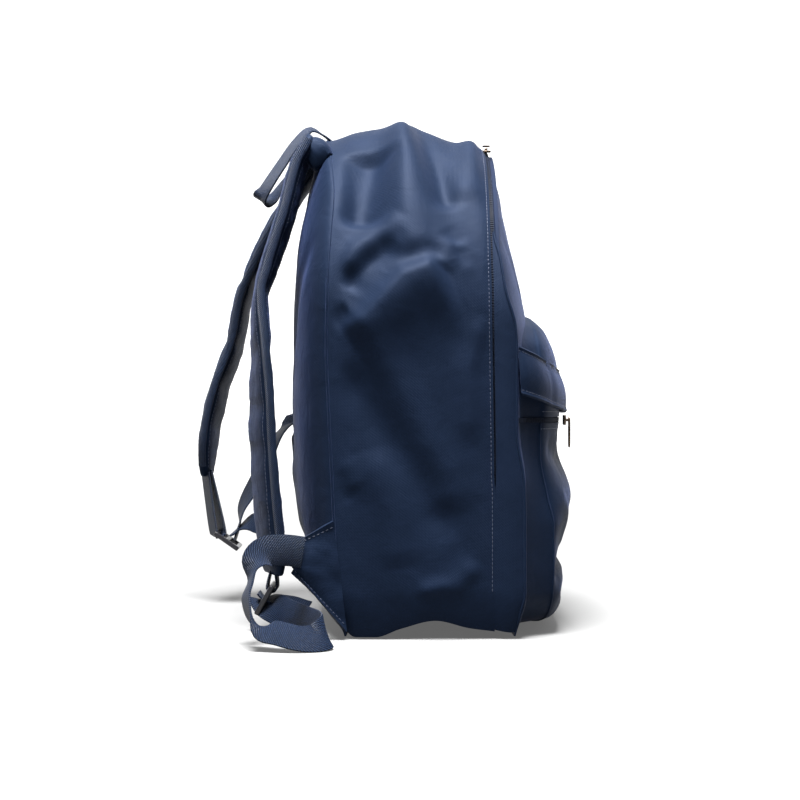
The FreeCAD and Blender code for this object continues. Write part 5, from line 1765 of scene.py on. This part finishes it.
def build_stage():
    """Floor with its backdrop, soft lights from above and a camera level with the bag."""
    floor = sweep_floor()
    floor.data.materials.append(floor_material())
    scene = bpy.context.scene
    world = bpy.data.worlds.new("studio")
    world.use_nodes = True
    background = world.node_tree.nodes["Background"]
    background.inputs["Color"].default_value = (0.90, 0.94, 1.0, 1)
    background.inputs["Strength"].default_value = 0.10
    scene.world = world
    add_light("overhead", (-0.55, 0.10, 2.0), (0, 0, 0.25), 0.9, 350)
    add_light("near_fill", (-2.2, 0.2, 1.6), (0, 0, 0.25), 1.0, 4)
    scene.view_settings.view_transform = "Standard"
    camera_data = bpy.data.cameras.new("camera")
    camera_data.lens = CAMERA_LENS
    camera_data.sensor_width = 36
    camera = bpy.data.objects.new("camera", camera_data)
    camera.location = CAMERA_PLACE
    camera.rotation_euler = (math.pi / 2, 0, -math.pi / 2)
    scene.collection.objects.link(camera)
    scene.camera = camera


def add_light(name, place, target, size, energy):
    """Square area light at a place, aimed at a target."""
    data = bpy.data.lights.new(name, "AREA")
    data.size = size
    data.energy = energy
    light = bpy.data.objects.new(name, data)
    light.location = place
    aim = Vector(target) - Vector(place)
    light.rotation_euler = aim.to_track_quat("-Z", "Y").to_euler()
    bpy.context.scene.collection.objects.link(light)


# ------------------------------------------------------------------------------ operators

class BuildOperator:
    """Shared behaviour of the operators: run the named builders and report the result."""
    bl_options = {"REGISTER", "UNDO"}
    builders = ()

    def execute(self, context):
        """Run the builders in order; a builder that fails raises its error."""
        for builder in self.builders:
            builder()
        return {"FINISHED"}


class BACKPACK_OT_materials(BuildOperator, bpy.types.Operator):
    """Make the cloth, webbing, plastic and metal materials"""
    bl_idname = "backpack.materials"
    bl_label = "Materials"
    builders = (make_materials,)


class BACKPACK_OT_shell(BuildOperator, bpy.types.Operator):
    """Build the side, back, front and base cloth of the bag"""
    bl_idname = "backpack.shell"
    bl_label = "Shell"
    builders = (build_side, build_back, build_front, build_base)


class BACKPACK_OT_main_zip(BuildOperator, bpy.types.Operator):
    """Build the tapes and teeth of the main zip"""
    bl_idname = "backpack.main_zip"
    bl_label = "Main zip"
    builders = (build_main_zip,)


class BACKPACK_OT_seams(BuildOperator, bpy.types.Operator):
    """Build the rolled edges of the bag's seams"""
    bl_idname = "backpack.seams"
    bl_label = "Seams"
    builders = (build_seams,)


class BACKPACK_OT_pocket(BuildOperator, bpy.types.Operator):
    """Build the front pocket with its zip and storm flap"""
    bl_idname = "backpack.pocket"
    bl_label = "Front pocket"
    builders = (build_pocket, build_flap)


class BACKPACK_OT_fittings(BuildOperator, bpy.types.Operator):
    """Build the zip sliders, their pulls and the ladder locks"""
    bl_idname = "backpack.fittings"
    bl_label = "Fittings"
    builders = (build_sliders, build_locks)


class BACKPACK_OT_straps(BuildOperator, bpy.types.Operator):
    """Build the padded straps, their roots and loops, the ears and the webbing"""
    bl_idname = "backpack.straps"
    bl_label = "Straps"
    builders = (build_haul_loop, build_pads, build_roots, build_pad_loops, build_ears,
                build_lower_webbing)


class BACKPACK_OT_stage(BuildOperator, bpy.types.Operator):
    """Build the floor, lights and camera"""
    bl_idname = "backpack.stage"
    bl_label = "Stage"
    builders = (build_stage,)


STEPS = (BACKPACK_OT_materials, BACKPACK_OT_shell, BACKPACK_OT_seams, BACKPACK_OT_main_zip,
         BACKPACK_OT_pocket, BACKPACK_OT_fittings, BACKPACK_OT_straps, BACKPACK_OT_stage)


class BACKPACK_PT_panel(bpy.types.Panel):
    """Settings and build steps of the backpack"""
    bl_label = "Backpack"
    bl_idname = "BACKPACK_PT_panel"
    bl_space_type = "VIEW_3D"
    bl_region_type = "UI"
    bl_category = "Backpack"

    def draw(self, context):
        settings = context.scene.backpack_look
        for name in settings.bl_rna.properties.keys():
            if name not in {"rna_type", "name"}:
                self.layout.prop(settings, name)
        for step in STEPS:
            self.layout.operator(step.bl_idname)


CLASSES = (BackpackLook, *STEPS, BACKPACK_PT_panel)


def register():
    """Add the settings, the operators and the panel."""
    for item in CLASSES:
        bpy.utils.register_class(item)
    bpy.types.Scene.backpack_look = bpy.props.PointerProperty(type=BackpackLook)


def unregister():
    """Take them away again."""
    del bpy.types.Scene.backpack_look
    for item in reversed(CLASSES):
        bpy.utils.unregister_class(item)


def main():
    """Build everything in order."""
    register()
    for step in STEPS:
        group, name = step.bl_idname.split(".")
        getattr(getattr(bpy.ops, group), name)()


if __name__ == "__main__":
    main()
